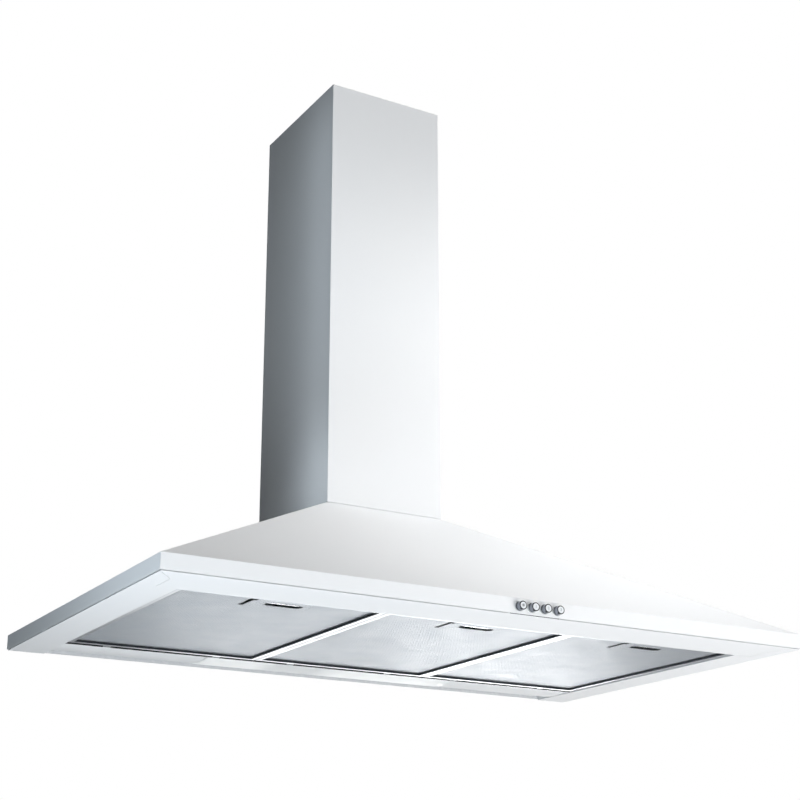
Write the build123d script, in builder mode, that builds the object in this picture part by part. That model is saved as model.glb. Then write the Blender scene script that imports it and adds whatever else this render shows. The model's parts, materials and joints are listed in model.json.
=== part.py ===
from build123d import *
from math import cos, radians, sin
import os

os.makedirs("parts", exist_ok=True)

# A wall-mounted pyramid chimney hood, in millimetres. X runs to the right, Y towards the wall and Z up.
# The origin is on the wall plane, at the centre of the four wall fixing holes.

# Whole hood
hood_width = 898.0
hood_depth = 530.0  # wall to the rim's front face
rim_height = 20.0
canopy_height = 202.0  # rim's lower edge to the chimney's foot
chimney_width = 180.0
chimney_depth = 215.0
chimney_height = 638.0  # visible lower cover
sheet = 1.0  # painted steel sheet
seat_gap = 0.3  # between pieces that are fastened to each other

# Wall fixings
fixing_height = 105.0  # centre of the four holes above the rim's lower edge
fixing_spacing_x = 220.0
fixing_spacing_z = 90.0
fixing_hole_radius = 4.0

# Levels
rim_bottom = -fixing_height
rim_top = rim_bottom + rim_height
canopy_top = rim_bottom + canopy_height
chimney_top = canopy_top + chimney_height

# Push buttons on the rim
button_count = 4
button_pitch = 18.0
button_group_x = 29.0  # group's centre, right of the hood's
button_radius = 5.25
button_reach = 9.0  # cap's face in front of the rim
button_travel = 3.0
button_clearance = 0.3
button_flange = 1.0
bezel_radius = 6.5
bezel_plate = 1.2
bezel_wall = 0.6
bezel_barrel = 4.0  # barrel's length behind the rim's front face
stem_radius = 2.0
stem_fit = 0.05
stem_length = 14.0
button_cap_round = 0.6
button_spring_room = 6.0  # flange's back to the switch block, at rest
button_spring_wall = 0.8

button_z = rim_bottom + rim_height / 2
button_xs = [button_group_x + (i - (button_count - 1) / 2) * button_pitch for i in range(button_count)]
bezel_bore = button_radius + button_clearance
bezel_hole = bezel_bore + bezel_wall + button_clearance / 2
button_flange_radius = bezel_bore + bezel_wall
rim_front = -hood_depth

# Collar on the canopy
collar_gap = 0.5
collar_height = 12.0
collar_width = chimney_width - 2 * (sheet + collar_gap)
collar_depth = chimney_depth - sheet - collar_gap
fold_drop = 0.6 * sheet  # a fold's inner corner below its outer one

# Underside frame
front_flange = 74.0
side_flange = 50.0
outer_upstand = 12.0
inner_upstand = 13.0
tray_width = hood_width - 2 * (sheet + seat_gap)
tray_depth = hood_depth - sheet - seat_gap
frame_rear = -sheet - seat_gap  # just in front of the back panel
opening_width = hood_width - 2 * side_flange
opening_front = hood_depth - front_flange  # wall to the opening's front edge

# Filter cassettes and their rolled hinges
filter_count = 3
filter_gap = 1.2
filter_height = 9.0
filter_recess = 1.5  # cassette's underside above the flange's
filter_border = 7.0
filter_sheet = 1.0
mesh_recess = 3.0  # mesh above the cassette's underside
mesh_sheet = 1.2
mesh_columns = 8
mesh_rows = 10
mesh_strand = 9.0  # strand between two diamonds
rear_band = 80.0  # wall to the rear rail's web
roll_radius = 2.2
roll_fit = 0.1
roll_length = 22.0
tongue_width = 10.0
tongue_sheet = 1.2
tongue_inset = 55.0  # tongue's centre from the cassette's side
trough_wall = 1.0
trough_clearance = 0.7
rail_sheet = 1.2
rail_height = 26.0

filter_width = (opening_width - (filter_count + 1) * filter_gap) / filter_count
filter_xs = [(i - (filter_count - 1) / 2) * (filter_width + filter_gap) for i in range(filter_count)]
filter_bottom = rim_bottom + filter_recess
filter_top = filter_bottom + filter_height
trough_radius = roll_radius + roll_fit + trough_wall
hinge_y = -rear_band - rail_sheet - trough_radius - trough_clearance
hinge_z = rim_bottom + trough_radius + seat_gap
filter_rear = hinge_y - trough_radius - trough_clearance
filter_front = -opening_front + filter_gap
filter_depth = filter_rear - filter_front
filter_mid_y = (filter_rear + filter_front) / 2

# Latch in the middle of each cassette's front edge
latch_offset = 8.0  # latch plate's centre, right of the cassette's
latch_plate_width = 84.0
latch_plate_depth = 58.0
latch_plate_sheet = 1.0
finger_offset = 16.0  # finger slot's centre, right of the cassette's
finger_length = 48.0
finger_width = 14.0
finger_inset = 40.0  # finger slot's centre behind the cassette's front
relief_offset = -31.0  # slit beside the latch, left of the cassette's centre
relief_length = 36.0
relief_leg = 7.0
relief_width = 2.2
relief_inset = 40.0
latch_sheet = 1.5
latch_width = 40.0
latch_travel = 5.0
latch_clearance = 0.3
bolt_width = 16.0
bolt_tip_gap = 0.4  # bolt's tip to the frame's upstand, at rest
pad_length = 38.0
pad_width = 8.0
guide_width = 2.0
guide_length = 16.0
guide_inset = 22.0  # guides' middle behind the cassette's front
guide_height = 3.2
latch_spring_radius = 1.4
latch_spring_wall = 0.5
latch_spring_packed = 7.0  # spring's length with the latch drawn back
stop_width = 14.0

latch_spring_room = latch_spring_packed + latch_travel
mesh_bottom = filter_bottom + mesh_recess
mesh_level = mesh_bottom + seat_gap
latch_plate_top = mesh_level + latch_plate_sheet
latch_bottom = latch_plate_top + latch_clearance
latch_top = latch_bottom + latch_sheet
finger_y = filter_front + finger_inset
pad_y = finger_y - (finger_width - pad_width) / 2 + latch_clearance
latch_front = filter_front + filter_sheet + latch_clearance
latch_rear = pad_y + pad_width / 2 + latch_clearance
latch_spring_z = latch_bottom + latch_spring_radius
bolt_tip = -opening_front + bolt_tip_gap

# Switch block
flange_front = rim_front + bezel_barrel + button_clearance
flange_rear = flange_front + button_flange
switch_front = flange_rear + button_spring_room
switch_depth = 24.0
switch_height = 17.0
switch_margin = 4.0
switch_bore_depth = stem_length + button_travel + seat_gap - button_spring_room
switch_bottom = rim_bottom + sheet + seat_gap
terminal_width = 0.8
terminal_height = 6.0
terminal_reach = 8.0

# Lamp band
band_radius = 150.0
band_low_y = -46.0
band_front_flange = 16.0
band_rear_flange = 18.0
cover_length = 394.0
cover_front_y = -74.0
cover_rear_y = -20.0
cover_gap = 0.8
cover_wall = 2.0
cover_flange_height = 12.0
cover_end_radius = 8.0
hinge_pin_radius = 1.5
hinge_pin_fit = 0.05
hinge_pin_reach = 3.5
lamp_screw_inset = 7.0
lamp_screw_radius = 1.75
lamp_screw_head = 3.8
lamp_screw_head_height = 1.8
lamp_screw_length = 15.0
lamp_screw_slot_length = 5.7
lamp_screw_slot_width = 1.0
lamp_boss_radius = 5.5
screw_clearance = 0.3
tray_wall_gap = 2.0  # cover's flange to the lamp tray's wall
tray_top = 48.0
lamp_sheet = 1.0
tray_overhang = 8.0
lug_height = 11.0
lug_length = 22.0
lug_width = 14.0

panel_front_y = seat_gap - rear_band
panel_rear_y = frame_rear
band_axis_z = rim_bottom + seat_gap + band_radius
front_edge_rise = seat_gap + band_radius - (band_radius**2 - (panel_front_y - band_low_y) ** 2) ** 0.5
rear_edge_rise = seat_gap + band_radius - (band_radius**2 - (panel_rear_y - band_low_y) ** 2) ** 0.5
cover_pin_x = -cover_length / 2 + cover_end_radius
cover_pin_z = rim_bottom + cover_end_radius
cover_mid_y = (cover_front_y + cover_rear_y) / 2
cover_depth = cover_rear_y - cover_front_y
lamp_screw_x = cover_length / 2 - lamp_screw_inset
lamp_screw_z = band_axis_z - (band_radius**2 - (cover_mid_y - band_low_y) ** 2) ** 0.5
lamp_boss_top = rim_bottom + lug_height - seat_gap
tray_length = cover_length + 2 * tray_overhang
tray_width_y = cover_depth + 2 * (tray_wall_gap + lamp_sheet)

# Lamps on the tray
lamp_level = 27.0  # bulb's axis above the rim's lower edge
lamp_holder_radius = 14.0
lamp_holder_length = 30.0
lamp_holder_foot = 16.0
lamp_cap_radius = 6.8
lamp_cap_length = 24.0
lamp_radius = 17.5
lamp_length = 76.0
lamp_neck_radius = 9.0
lamp_shoulder = 25.0  # neck to the bulb's widest part
left_holder_inset = 157.0  # holder's right end from the cover's left end
right_holder_inset = 52.0  # holder's right end from the cover's right end

lamp_z = rim_bottom + lamp_level
lamp_left_x = left_holder_inset - cover_length / 2
lamp_right_x = cover_length / 2 - right_holder_inset

# Chimney covers
return_width = 15.0  # edge folded in along the wall
cover_slide_gap = 0.7
upper_length = 480.0
bracket_height = 30.0
bracket_arm = 55.0
bracket_hole_radius = 2.5
bracket_hole_spacing = 90.0
bracket_step = 8.0  # run of the joggle from the wall to the chimney's returns

upper_width = chimney_width - 2 * (sheet + cover_slide_gap)
upper_front = chimney_depth - sheet - cover_slide_gap
upper_rear = sheet + cover_slide_gap
bracket_z = chimney_top - bracket_height
bracket_x = upper_width / 2 - sheet - seat_gap - sheet / 2
bracket_y = -upper_rear - sheet - seat_gap - sheet / 2

# Blower deck on the collar
deck_sheet = 1.2
deck_inset = 0.5  # deck's edge inside the chimney's face
deck_flange = 10.0
deck_opening_width = 144.0
deck_opening_front = 200.0
deck_opening_rear = 14.0

deck_bottom = canopy_top + collar_height + seat_gap
deck_top = deck_bottom + deck_sheet

# Scroll casing in two halves
scroll_y = -84.0
scroll_height = 70.0  # scroll's first centre above the chimney's foot
scroll_radius = 74.0
scroll_step = 9.0  # growth of the radius in each quarter turn
duct_height = 92.0  # outlet's edge above the scroll's first centre
casing_half = 45.0
casing_wall = 2.0
boss_radius = 5.0
boss_length = 16.0
casing_screw_radius = 1.9
casing_screw_head = 3.4
screw_head_height = 2.5
front_boss_drop = 20.0  # front boss below the outlet's edge
foot_sheet = 3.0
foot_width = 16.0
foot_reach = 84.0
foot_screw_x = 79.0
foot_gusset = 14.0
foot_ys = (-42.0, -143.0)

scroll_z = canopy_top + scroll_height
duct_top = scroll_z + duct_height
duct_front = scroll_y - scroll_radius - 3 * scroll_step
foot_z = deck_top + seat_gap
foot_top = foot_z + foot_sheet
foot_screw_points = [(side * foot_screw_x, foot_y) for side in (-1, 1) for foot_y in foot_ys]
diagonal = 0.5**0.5
boss_out = boss_radius - casing_wall / 2
first_centre = (scroll_y, scroll_z)
second_centre = (scroll_y - scroll_step, scroll_z)
third_centre = (scroll_y - scroll_step, scroll_z + scroll_step)
second_radius = scroll_radius + scroll_step
third_radius = scroll_radius + 2 * scroll_step
boss_points = [
    (scroll_y + (scroll_radius + boss_out) * diagonal, scroll_z + (scroll_radius + boss_out) * diagonal),
    (
        scroll_y - scroll_step + (second_radius + boss_out) * diagonal,
        scroll_z - (second_radius + boss_out) * diagonal,
    ),
    (
        scroll_y - scroll_step - (third_radius + boss_out) * diagonal,
        scroll_z + scroll_step - (third_radius + boss_out) * diagonal,
    ),
    (scroll_y - scroll_step - third_radius - boss_out, duct_top - front_boss_drop),
]

# Impeller, inlets and motor
impeller_radius = 65.0
impeller_root = 55.0
impeller_half = 40.0
impeller_ring = 7.0
impeller_ring_sheet = 2.0
impeller_disc_sheet = 2.0
blade_count = 28
blade_sheet = 1.2
blade_lean = 7.0  # degrees between a blade's root and its tip
blade_curve = 11.0
hub_radius = 11.0
hub_back = 4.0
hub_front = 14.0
shaft_radius = 4.0
shaft_fit = 0.05
inlet_radius = 50.0
inlet_wall = 2.0
inlet_flange_radius = 60.0
inlet_reach = 42.5  # inlet lip's inner edge, from the casing's middle
inlet_round = 1.8
motor_radius = 38.0
motor_front = 6.0  # motor's face, from the casing's middle
motor_rear = 75.0
motor_round = 5.0
motor_flange_radius = 46.0
motor_flange_sheet = 3.0
shaft_rear = 69.0
bracket_sheet = 3.0
arm_count = 3
arm_angle = 50.0
arm_width = 12.0
arm_foot_circle = 66.0
arm_foot_radius = 4.5

tip_y = impeller_radius * cos(radians(blade_lean))
tip_z = -impeller_radius * sin(radians(blade_lean))
impeller_y = scroll_y - scroll_step / 2
impeller_z = scroll_z + scroll_step / 2
inlet_face = casing_half + seat_gap + inlet_wall
bracket_inner = inlet_face + seat_gap
bracket_outer = bracket_inner + bracket_sheet

# Outlet collar with its two flaps
skirt_height = 8.0
transition_height = 55.0
spigot_radius = 60.0
spigot_wall = 1.5
spigot_height = 45.0
spigot_y = -110.0
corner_round = 6.0
flap_level = 14.0  # flaps' pin above the spigot's foot
flap_sheet = 1.5
flap_clearance = 0.6
flap_pin_radius = 1.5
flap_pin_fit = 0.05
knuckle_radius = 3.0
knuckle_gap = 0.5
knuckle_length = 19.0
ledge_width = 4.0

skirt_bottom = duct_top - skirt_height
collar_base = duct_top + seat_gap
spigot_base = collar_base + transition_height
flap_z = spigot_base + flap_level
flap_radius = spigot_radius - spigot_wall - flap_clearance
knuckle_pitch = knuckle_length + knuckle_gap
duct_y = (scroll_y + duct_front) / 2
duct_depth = scroll_y - duct_front

# Electrics on the back panel
terminal_box_width = 90.0
terminal_box_depth = 34.0
terminal_box_height = 48.0
terminal_box_level = 52.0
terminal_box_x = -30.0
terminal_box_round = 4.0
box_lid_sheet = 2.0
gland_radius = 9.0
gland_length = 16.0
gland_bore = 3.8
gland_nut_radius = 11.0
gland_nut_length = 6.0
gland_round = 2.0
gland_inset_x = 17.0  # gland's axis from the box's left side
gland_inset_y = 15.0  # gland's axis behind the box's front
capacitor_radius = 16.0
capacitor_length = 58.0
capacitor_x = 78.0
capacitor_round = 2.0

box_bottom = rim_bottom + terminal_box_level
box_front = frame_rear - terminal_box_depth
box_top = box_bottom + terminal_box_height
gland_x = terminal_box_x - terminal_box_width / 2 + gland_inset_x
gland_y = box_front + gland_inset_y
gland_foot = box_top + seat_gap

# Canopy: a folded rim, three slopes and a collar that the chimney slips over
with BuildPart() as canopy_shell:
    for inset, drop, mode in ((0, 0, Mode.ADD), (sheet, fold_drop, Mode.SUBTRACT)):
        with BuildSketch(Plane.XY.offset(rim_bottom)):
            Rectangle(hood_width - 2 * inset, hood_depth - inset, align=(Align.CENTER, Align.MAX))
        extrude(amount=rim_height - drop, mode=mode)
        with BuildSketch(Plane.XY.offset(rim_top - drop)):
            Rectangle(hood_width - 2 * inset, hood_depth - inset, align=(Align.CENTER, Align.MAX))
        with BuildSketch(Plane.XY.offset(canopy_top - drop)):
            Rectangle(collar_width - 2 * inset, collar_depth - inset, align=(Align.CENTER, Align.MAX))
        loft(ruled=True, mode=mode)
        with BuildSketch(Plane.XY.offset(canopy_top - drop)):
            Rectangle(collar_width - 2 * inset, collar_depth - inset, align=(Align.CENTER, Align.MAX))
        extrude(amount=collar_height + drop, mode=mode)
    with BuildSketch(Plane.XZ.offset(hood_depth)):
        with Locations(*[(x, button_z) for x in button_xs]):
            Circle(bezel_hole)
    extrude(amount=-2 * sheet, mode=Mode.SUBTRACT)
canopy_shell.part.label = "canopy_shell"
export_step(canopy_shell.part, "parts/canopy_shell.step")

# Back panel: closes the canopy at the wall and carries the four fixing holes
with BuildPart() as back_panel:
    with BuildSketch(Plane.XZ):
        with BuildLine():
            Polyline(
                (-hood_width / 2, rim_bottom),
                (-hood_width / 2, rim_top),
                (-collar_width / 2, canopy_top),
                (collar_width / 2, canopy_top),
                (hood_width / 2, rim_top),
                (hood_width / 2, rim_bottom),
                close=True,
            )
        make_face()
        offset(amount=-sheet - seat_gap, kind=Kind.INTERSECTION)
        with GridLocations(fixing_spacing_x, fixing_spacing_z, 2, 2):
            Circle(fixing_hole_radius, mode=Mode.SUBTRACT)
    extrude(amount=sheet)
back_panel.part.label = "back_panel"
export_step(back_panel.part, "parts/back_panel.step")

# Underside frame: the flat flange that shows below, folded up inside the rim and round the opening
with BuildPart() as underside_frame:
    with BuildSketch(Plane.XY.offset(rim_bottom)):
        with Locations((0, -tray_depth)):
            Rectangle(tray_width, tray_depth + frame_rear, align=(Align.CENTER, Align.MIN))
        with Locations((0, -opening_front)):
            Rectangle(opening_width, opening_front, align=(Align.CENTER, Align.MIN), mode=Mode.SUBTRACT)
    extrude(amount=sheet)
    with BuildSketch(Plane.XY.offset(rim_bottom)):
        with Locations((0, -tray_depth)):
            Rectangle(tray_width, tray_depth + frame_rear, align=(Align.CENTER, Align.MIN))
        with Locations((0, sheet - tray_depth)):
            Rectangle(
                tray_width - 2 * sheet,
                tray_depth,
                align=(Align.CENTER, Align.MIN),
                mode=Mode.SUBTRACT,
            )
    extrude(amount=outer_upstand)
    with BuildSketch(Plane.XY.offset(rim_bottom)):
        with Locations((0, -opening_front - sheet)):
            Rectangle(
                opening_width + 2 * sheet,
                opening_front + sheet + frame_rear,
                align=(Align.CENTER, Align.MIN),
            )
        with Locations((0, -opening_front)):
            Rectangle(opening_width, opening_front, align=(Align.CENTER, Align.MIN), mode=Mode.SUBTRACT)
    extrude(amount=inner_upstand)
    with BuildSketch(Plane.XZ.offset(tray_depth)):
        with Locations((button_group_x, rim_bottom + sheet + outer_upstand / 2)):
            Rectangle(button_count * button_pitch + bezel_radius, outer_upstand)
    extrude(amount=-sheet, mode=Mode.SUBTRACT)
    with BuildSketch(Plane.XZ.offset(opening_front + sheet)):
        with Locations(*[(x + finger_offset, (latch_bottom + latch_top) / 2) for x in filter_xs]):
            Rectangle(bolt_width + 4 * latch_clearance, latch_sheet + 4 * latch_clearance)
    extrude(amount=-sheet, mode=Mode.SUBTRACT)
underside_frame.part.label = "underside_frame"
export_step(underside_frame.part, "parts/underside_frame.step")

# Rear rail: a web with a rolled trough that the cassettes' tongues turn in
with BuildPart() as rear_rail:
    with BuildSketch(Plane.YZ):
        with Locations((hinge_y, hinge_z)):
            Circle(trough_radius)
            Circle(roll_radius + roll_fit, mode=Mode.SUBTRACT)
        with Locations((hinge_y, hinge_z + trough_radius / 2)):
            Rectangle(2 * trough_radius, trough_radius, mode=Mode.SUBTRACT)
        with Locations((hinge_y + roll_radius + roll_fit, hinge_z)):
            Rectangle(
                -rear_band - hinge_y - roll_radius - roll_fit,
                trough_wall,
                align=(Align.MIN, Align.MAX),
            )
        with Locations((-rear_band, hinge_z - trough_wall)):
            Rectangle(rail_sheet, rail_height, align=(Align.MAX, Align.MIN))
    extrude(amount=opening_width / 2 - seat_gap, both=True)
    notch_xs = [x + side * (filter_width / 2 - tongue_inset) for x in filter_xs for side in (-1, 1)]
    with BuildSketch(Plane.XY.offset(hinge_z)):
        with Locations(*[(x, hinge_y - trough_radius) for x in notch_xs]):
            Rectangle(
                tongue_width + 2 * trough_clearance,
                trough_radius + roll_radius,
                align=(Align.CENTER, Align.MIN),
            )
    extrude(amount=-2 * trough_radius, mode=Mode.SUBTRACT)
rear_rail.part.label = "rear_rail"
export_step(rear_rail.part, "parts/rear_rail.step")

for number, filter_x in enumerate(filter_xs, start=1):
    latch_x = filter_x + finger_offset

    # Cassette frame: a folded channel round the mesh, its inner lip turned up to the mesh
    with BuildPart() as filter_frame:
        with BuildSketch(Plane.XY.offset(filter_bottom)):
            with Locations((filter_x, filter_mid_y)):
                Rectangle(filter_width, filter_depth)
                Rectangle(
                    filter_width - 2 * filter_border,
                    filter_depth - 2 * filter_border,
                    mode=Mode.SUBTRACT,
                )
        extrude(amount=filter_height)
        with BuildSketch(Plane.XY.offset(filter_bottom + filter_sheet)):
            with Locations((filter_x, filter_mid_y)):
                Rectangle(filter_width - 2 * filter_sheet, filter_depth - 2 * filter_sheet)
                Rectangle(
                    filter_width - 2 * (filter_border - filter_sheet),
                    filter_depth - 2 * (filter_border - filter_sheet),
                    mode=Mode.SUBTRACT,
                )
        extrude(amount=mesh_recess - filter_sheet, mode=Mode.SUBTRACT)
        with BuildSketch(Plane.XY.offset(mesh_bottom)):
            with Locations((filter_x, filter_mid_y)):
                Rectangle(filter_width - 2 * filter_sheet, filter_depth - 2 * filter_sheet)
        extrude(amount=filter_top - filter_sheet - mesh_bottom, mode=Mode.SUBTRACT)
        with BuildSketch(Plane.XZ.offset(-filter_front)):
            with Locations((latch_x, (latch_bottom + latch_top) / 2)):
                Rectangle(bolt_width + 2 * latch_clearance, latch_sheet + 2 * latch_clearance)
        extrude(amount=-filter_sheet, mode=Mode.SUBTRACT)
        tongue_xs = [filter_x - filter_width / 2 + tongue_inset, filter_x + filter_width / 2 - tongue_inset]
        with BuildSketch(Plane.XY.offset(hinge_z - tongue_sheet / 2)):
            with Locations(*[(x, filter_rear) for x in tongue_xs]):
                Rectangle(tongue_width, hinge_y - filter_rear, align=(Align.CENTER, Align.MIN))
        extrude(amount=tongue_sheet)
        for tongue_x in tongue_xs:
            with BuildSketch(Plane.YZ.offset(tongue_x)):
                with Locations((hinge_y, hinge_z)):
                    Circle(roll_radius)
            extrude(amount=roll_length / 2, both=True)
    filter_frame.part.label = f"filter_{number}_frame"
    export_step(filter_frame.part, f"parts/filter_{number}_frame.step")

    # Mesh: an expanded sheet of diamonds, with a window for the latch
    mesh_width = filter_width - 2 * (filter_sheet + latch_clearance)
    mesh_depth = filter_depth - 2 * (filter_sheet + latch_clearance)
    pitch_x = (mesh_width - 2 * filter_border) / mesh_columns
    pitch_y = (mesh_depth - 2 * filter_border) / mesh_rows
    window_x = filter_x + latch_offset
    with BuildPart() as filter_mesh:
        with BuildSketch(Plane.XY.offset(mesh_level)):
            with Locations((filter_x, filter_mid_y)):
                Rectangle(mesh_width, mesh_depth)
            with Locations((filter_x, filter_mid_y)):
                with GridLocations(pitch_x, pitch_y, mesh_columns, mesh_rows):
                    Polygon(
                        (mesh_strand / 2 - pitch_x / 2, 0),
                        (0, mesh_strand / 2 - pitch_y / 2),
                        (pitch_x / 2 - mesh_strand / 2, 0),
                        (0, pitch_y / 2 - mesh_strand / 2),
                        mode=Mode.SUBTRACT,
                    )
            with Locations((window_x, filter_front)):
                Rectangle(
                    latch_plate_width + 2 * latch_clearance,
                    latch_plate_depth + filter_sheet + seat_gap + latch_clearance,
                    align=(Align.CENTER, Align.MIN),
                    mode=Mode.SUBTRACT,
                )
        extrude(amount=mesh_sheet)
    filter_mesh.part.label = f"filter_{number}_mesh"
    export_step(filter_mesh.part, f"parts/filter_{number}_mesh.step")

    # Latch plate: closes the mesh window, with the finger slot, the relief slit and the latch's guides
    with BuildPart() as latch_plate:
        with BuildSketch(Plane.XY.offset(mesh_level)):
            with Locations((window_x, filter_front + filter_sheet + seat_gap)):
                Rectangle(latch_plate_width, latch_plate_depth, align=(Align.CENTER, Align.MIN))
            with Locations((latch_x, finger_y)):
                SlotOverall(finger_length, finger_width, mode=Mode.SUBTRACT)
            with Locations((filter_x + relief_offset, filter_front + relief_inset)):
                Rectangle(relief_width, relief_length, mode=Mode.SUBTRACT)
            with Locations((filter_x + relief_offset, filter_front + relief_inset - relief_length / 2)):
                Rectangle(relief_leg, relief_width, align=(Align.MIN, Align.MIN), mode=Mode.SUBTRACT)
        extrude(amount=latch_plate_sheet)
        with BuildSketch(Plane.XY.offset(latch_plate_top)):
            with Locations((latch_x, filter_front + guide_inset)):
                with GridLocations(latch_width + guide_width + 2 * latch_clearance, 0, 2, 1):
                    Rectangle(guide_width, guide_length)
            with Locations((latch_x, latch_rear + latch_spring_room)):
                Rectangle(stop_width, filter_sheet, align=(Align.CENTER, Align.MIN))
        extrude(amount=guide_height)
        with BuildSketch(Plane.XY.offset(latch_top + latch_clearance)):
            with Locations((latch_x, filter_front + guide_inset)):
                with GridLocations(latch_width, 0, 2, 1):
                    Rectangle(2 * guide_width, guide_length)
        extrude(amount=latch_plate_top + guide_height - latch_top - latch_clearance)
    latch_plate.part.label = f"filter_{number}_latch_plate"
    export_step(latch_plate.part, f"parts/filter_{number}_latch_plate.step")

    # Latch: a sliding bolt with a finger pad that shows in the slot
    with BuildPart() as latch:
        with BuildSketch(Plane.XY.offset(latch_bottom)):
            with Locations((latch_x, latch_front)):
                Rectangle(latch_width, latch_rear - latch_front, align=(Align.CENTER, Align.MIN))
            with Locations((latch_x, bolt_tip)):
                Rectangle(bolt_width, latch_front - bolt_tip, align=(Align.CENTER, Align.MIN))
        extrude(amount=latch_sheet)
        with BuildSketch(Plane.XY.offset(latch_bottom)):
            with Locations((latch_x, pad_y)):
                SlotOverall(pad_length, pad_width)
        extrude(amount=mesh_level - latch_bottom)
    latch.part.label = f"filter_{number}_latch"
    export_step(latch.part, f"parts/filter_{number}_latch.step")

    with BuildPart() as latch_spring:
        with BuildSketch(Plane.XZ.offset(-latch_rear - seat_gap)):
            with Locations((latch_x, latch_spring_z)):
                Circle(latch_spring_radius)
                Circle(latch_spring_radius - latch_spring_wall, mode=Mode.SUBTRACT)
        extrude(amount=2 * seat_gap - latch_spring_room)
    latch_spring.part.label = f"filter_{number}_latch_spring"
    export_step(latch_spring.part, f"parts/filter_{number}_latch_spring.step")

# Push buttons: bezels in the rim, caps on stems and return springs, and the switch block behind them
with BuildPart() as button_bezels:
    with BuildSketch(Plane.XZ.offset(hood_depth)):
        with Locations(*[(x, button_z) for x in button_xs]):
            Circle(bezel_radius)
    extrude(amount=bezel_plate)
    with BuildSketch(Plane.XZ.offset(hood_depth)):
        with Locations(*[(x, button_z) for x in button_xs]):
            Circle(bezel_bore + bezel_wall)
    extrude(amount=-bezel_barrel)
    with BuildSketch(Plane.XZ.offset(hood_depth + bezel_plate)):
        with Locations(*[(x, button_z) for x in button_xs]):
            Circle(bezel_bore)
    extrude(amount=-bezel_plate - bezel_barrel, mode=Mode.SUBTRACT)
button_bezels.part.label = "button_bezels"
export_step(button_bezels.part, "parts/button_bezels.step")

for number, button_x in enumerate(button_xs, start=1):
    with BuildPart() as button:
        with BuildSketch(Plane.XZ.offset(hood_depth + button_reach)):
            with Locations((button_x, button_z)):
                Circle(button_radius)
        extrude(amount=rim_front - button_reach - flange_rear)
        fillet(button.edges().group_by(Axis.Y)[0], radius=button_cap_round)
        with BuildSketch(Plane.XZ.offset(-flange_front)):
            with Locations((button_x, button_z)):
                Circle(button_flange_radius)
        extrude(amount=-button_flange)
        with BuildSketch(Plane.XZ.offset(-flange_rear)):
            with Locations((button_x, button_z)):
                Circle(stem_radius)
        extrude(amount=-stem_length)
    button.part.label = f"button_{number}"
    export_step(button.part, f"parts/button_{number}.step")

    with BuildPart() as button_spring:
        with BuildSketch(Plane.XZ.offset(-flange_rear - seat_gap)):
            with Locations((button_x, button_z)):
                Circle(stem_radius + seat_gap + button_spring_wall)
                Circle(stem_radius + seat_gap, mode=Mode.SUBTRACT)
        extrude(amount=2 * seat_gap - button_spring_room)
    button_spring.part.label = f"button_{number}_spring"
    export_step(button_spring.part, f"parts/button_{number}_spring.step")

with BuildPart() as switch_block:
    with BuildSketch(Plane.XZ.offset(-switch_front)):
        with Locations((button_group_x, switch_bottom)):
            Rectangle(
                button_count * button_pitch + switch_margin,
                switch_height,
                align=(Align.CENTER, Align.MIN),
            )
        with Locations(*[(x, button_z) for x in button_xs]):
            Circle(stem_radius + stem_fit, mode=Mode.SUBTRACT)
    extrude(amount=-switch_bore_depth)
    with BuildSketch(Plane.XZ.offset(-switch_front - switch_bore_depth)):
        with Locations((button_group_x, switch_bottom)):
            Rectangle(
                button_count * button_pitch + switch_margin,
                switch_height,
                align=(Align.CENTER, Align.MIN),
            )
    extrude(amount=switch_bore_depth - switch_depth)
    with BuildSketch(Plane.XZ.offset(-switch_front - switch_depth)):
        with Locations(*[(x, button_z) for x in button_xs]):
            with GridLocations(button_pitch / 2, 0, 2, 1):
                Rectangle(terminal_width, terminal_height)
    extrude(amount=-terminal_reach)
switch_block.part.label = "switch_block"
export_step(switch_block.part, "parts/switch_block.step")

# Lamp band behind the filters: a bowed panel with a long translucent cover in it
with BuildPart() as lamp_panel:
    with BuildSketch(Plane.YZ):
        with Locations((band_low_y, band_axis_z)):
            Circle(band_radius)
            Circle(band_radius - lamp_sheet, mode=Mode.SUBTRACT)
        with Locations((panel_front_y, rim_bottom)):
            Rectangle(
                panel_rear_y - panel_front_y,
                band_front_flange,
                align=(Align.MIN, Align.MIN),
                mode=Mode.INTERSECT,
            )
        with Locations((panel_front_y, rim_bottom + band_front_flange)):
            Rectangle(lamp_sheet, band_front_flange - front_edge_rise, align=(Align.MIN, Align.MAX))
        with Locations((panel_rear_y, rim_bottom + band_rear_flange)):
            Rectangle(lamp_sheet, band_rear_flange - rear_edge_rise, align=(Align.MAX, Align.MAX))
    extrude(amount=opening_width / 2 - seat_gap, both=True)
    with BuildSketch(Plane.XY.offset(rim_bottom)):
        with Locations((0, cover_mid_y)):
            Rectangle(cover_length + 2 * cover_gap, cover_depth + 2 * cover_gap)
    extrude(amount=band_front_flange, mode=Mode.SUBTRACT)
lamp_panel.part.label = "lamp_panel"
export_step(lamp_panel.part, "parts/lamp_panel.step")

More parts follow.
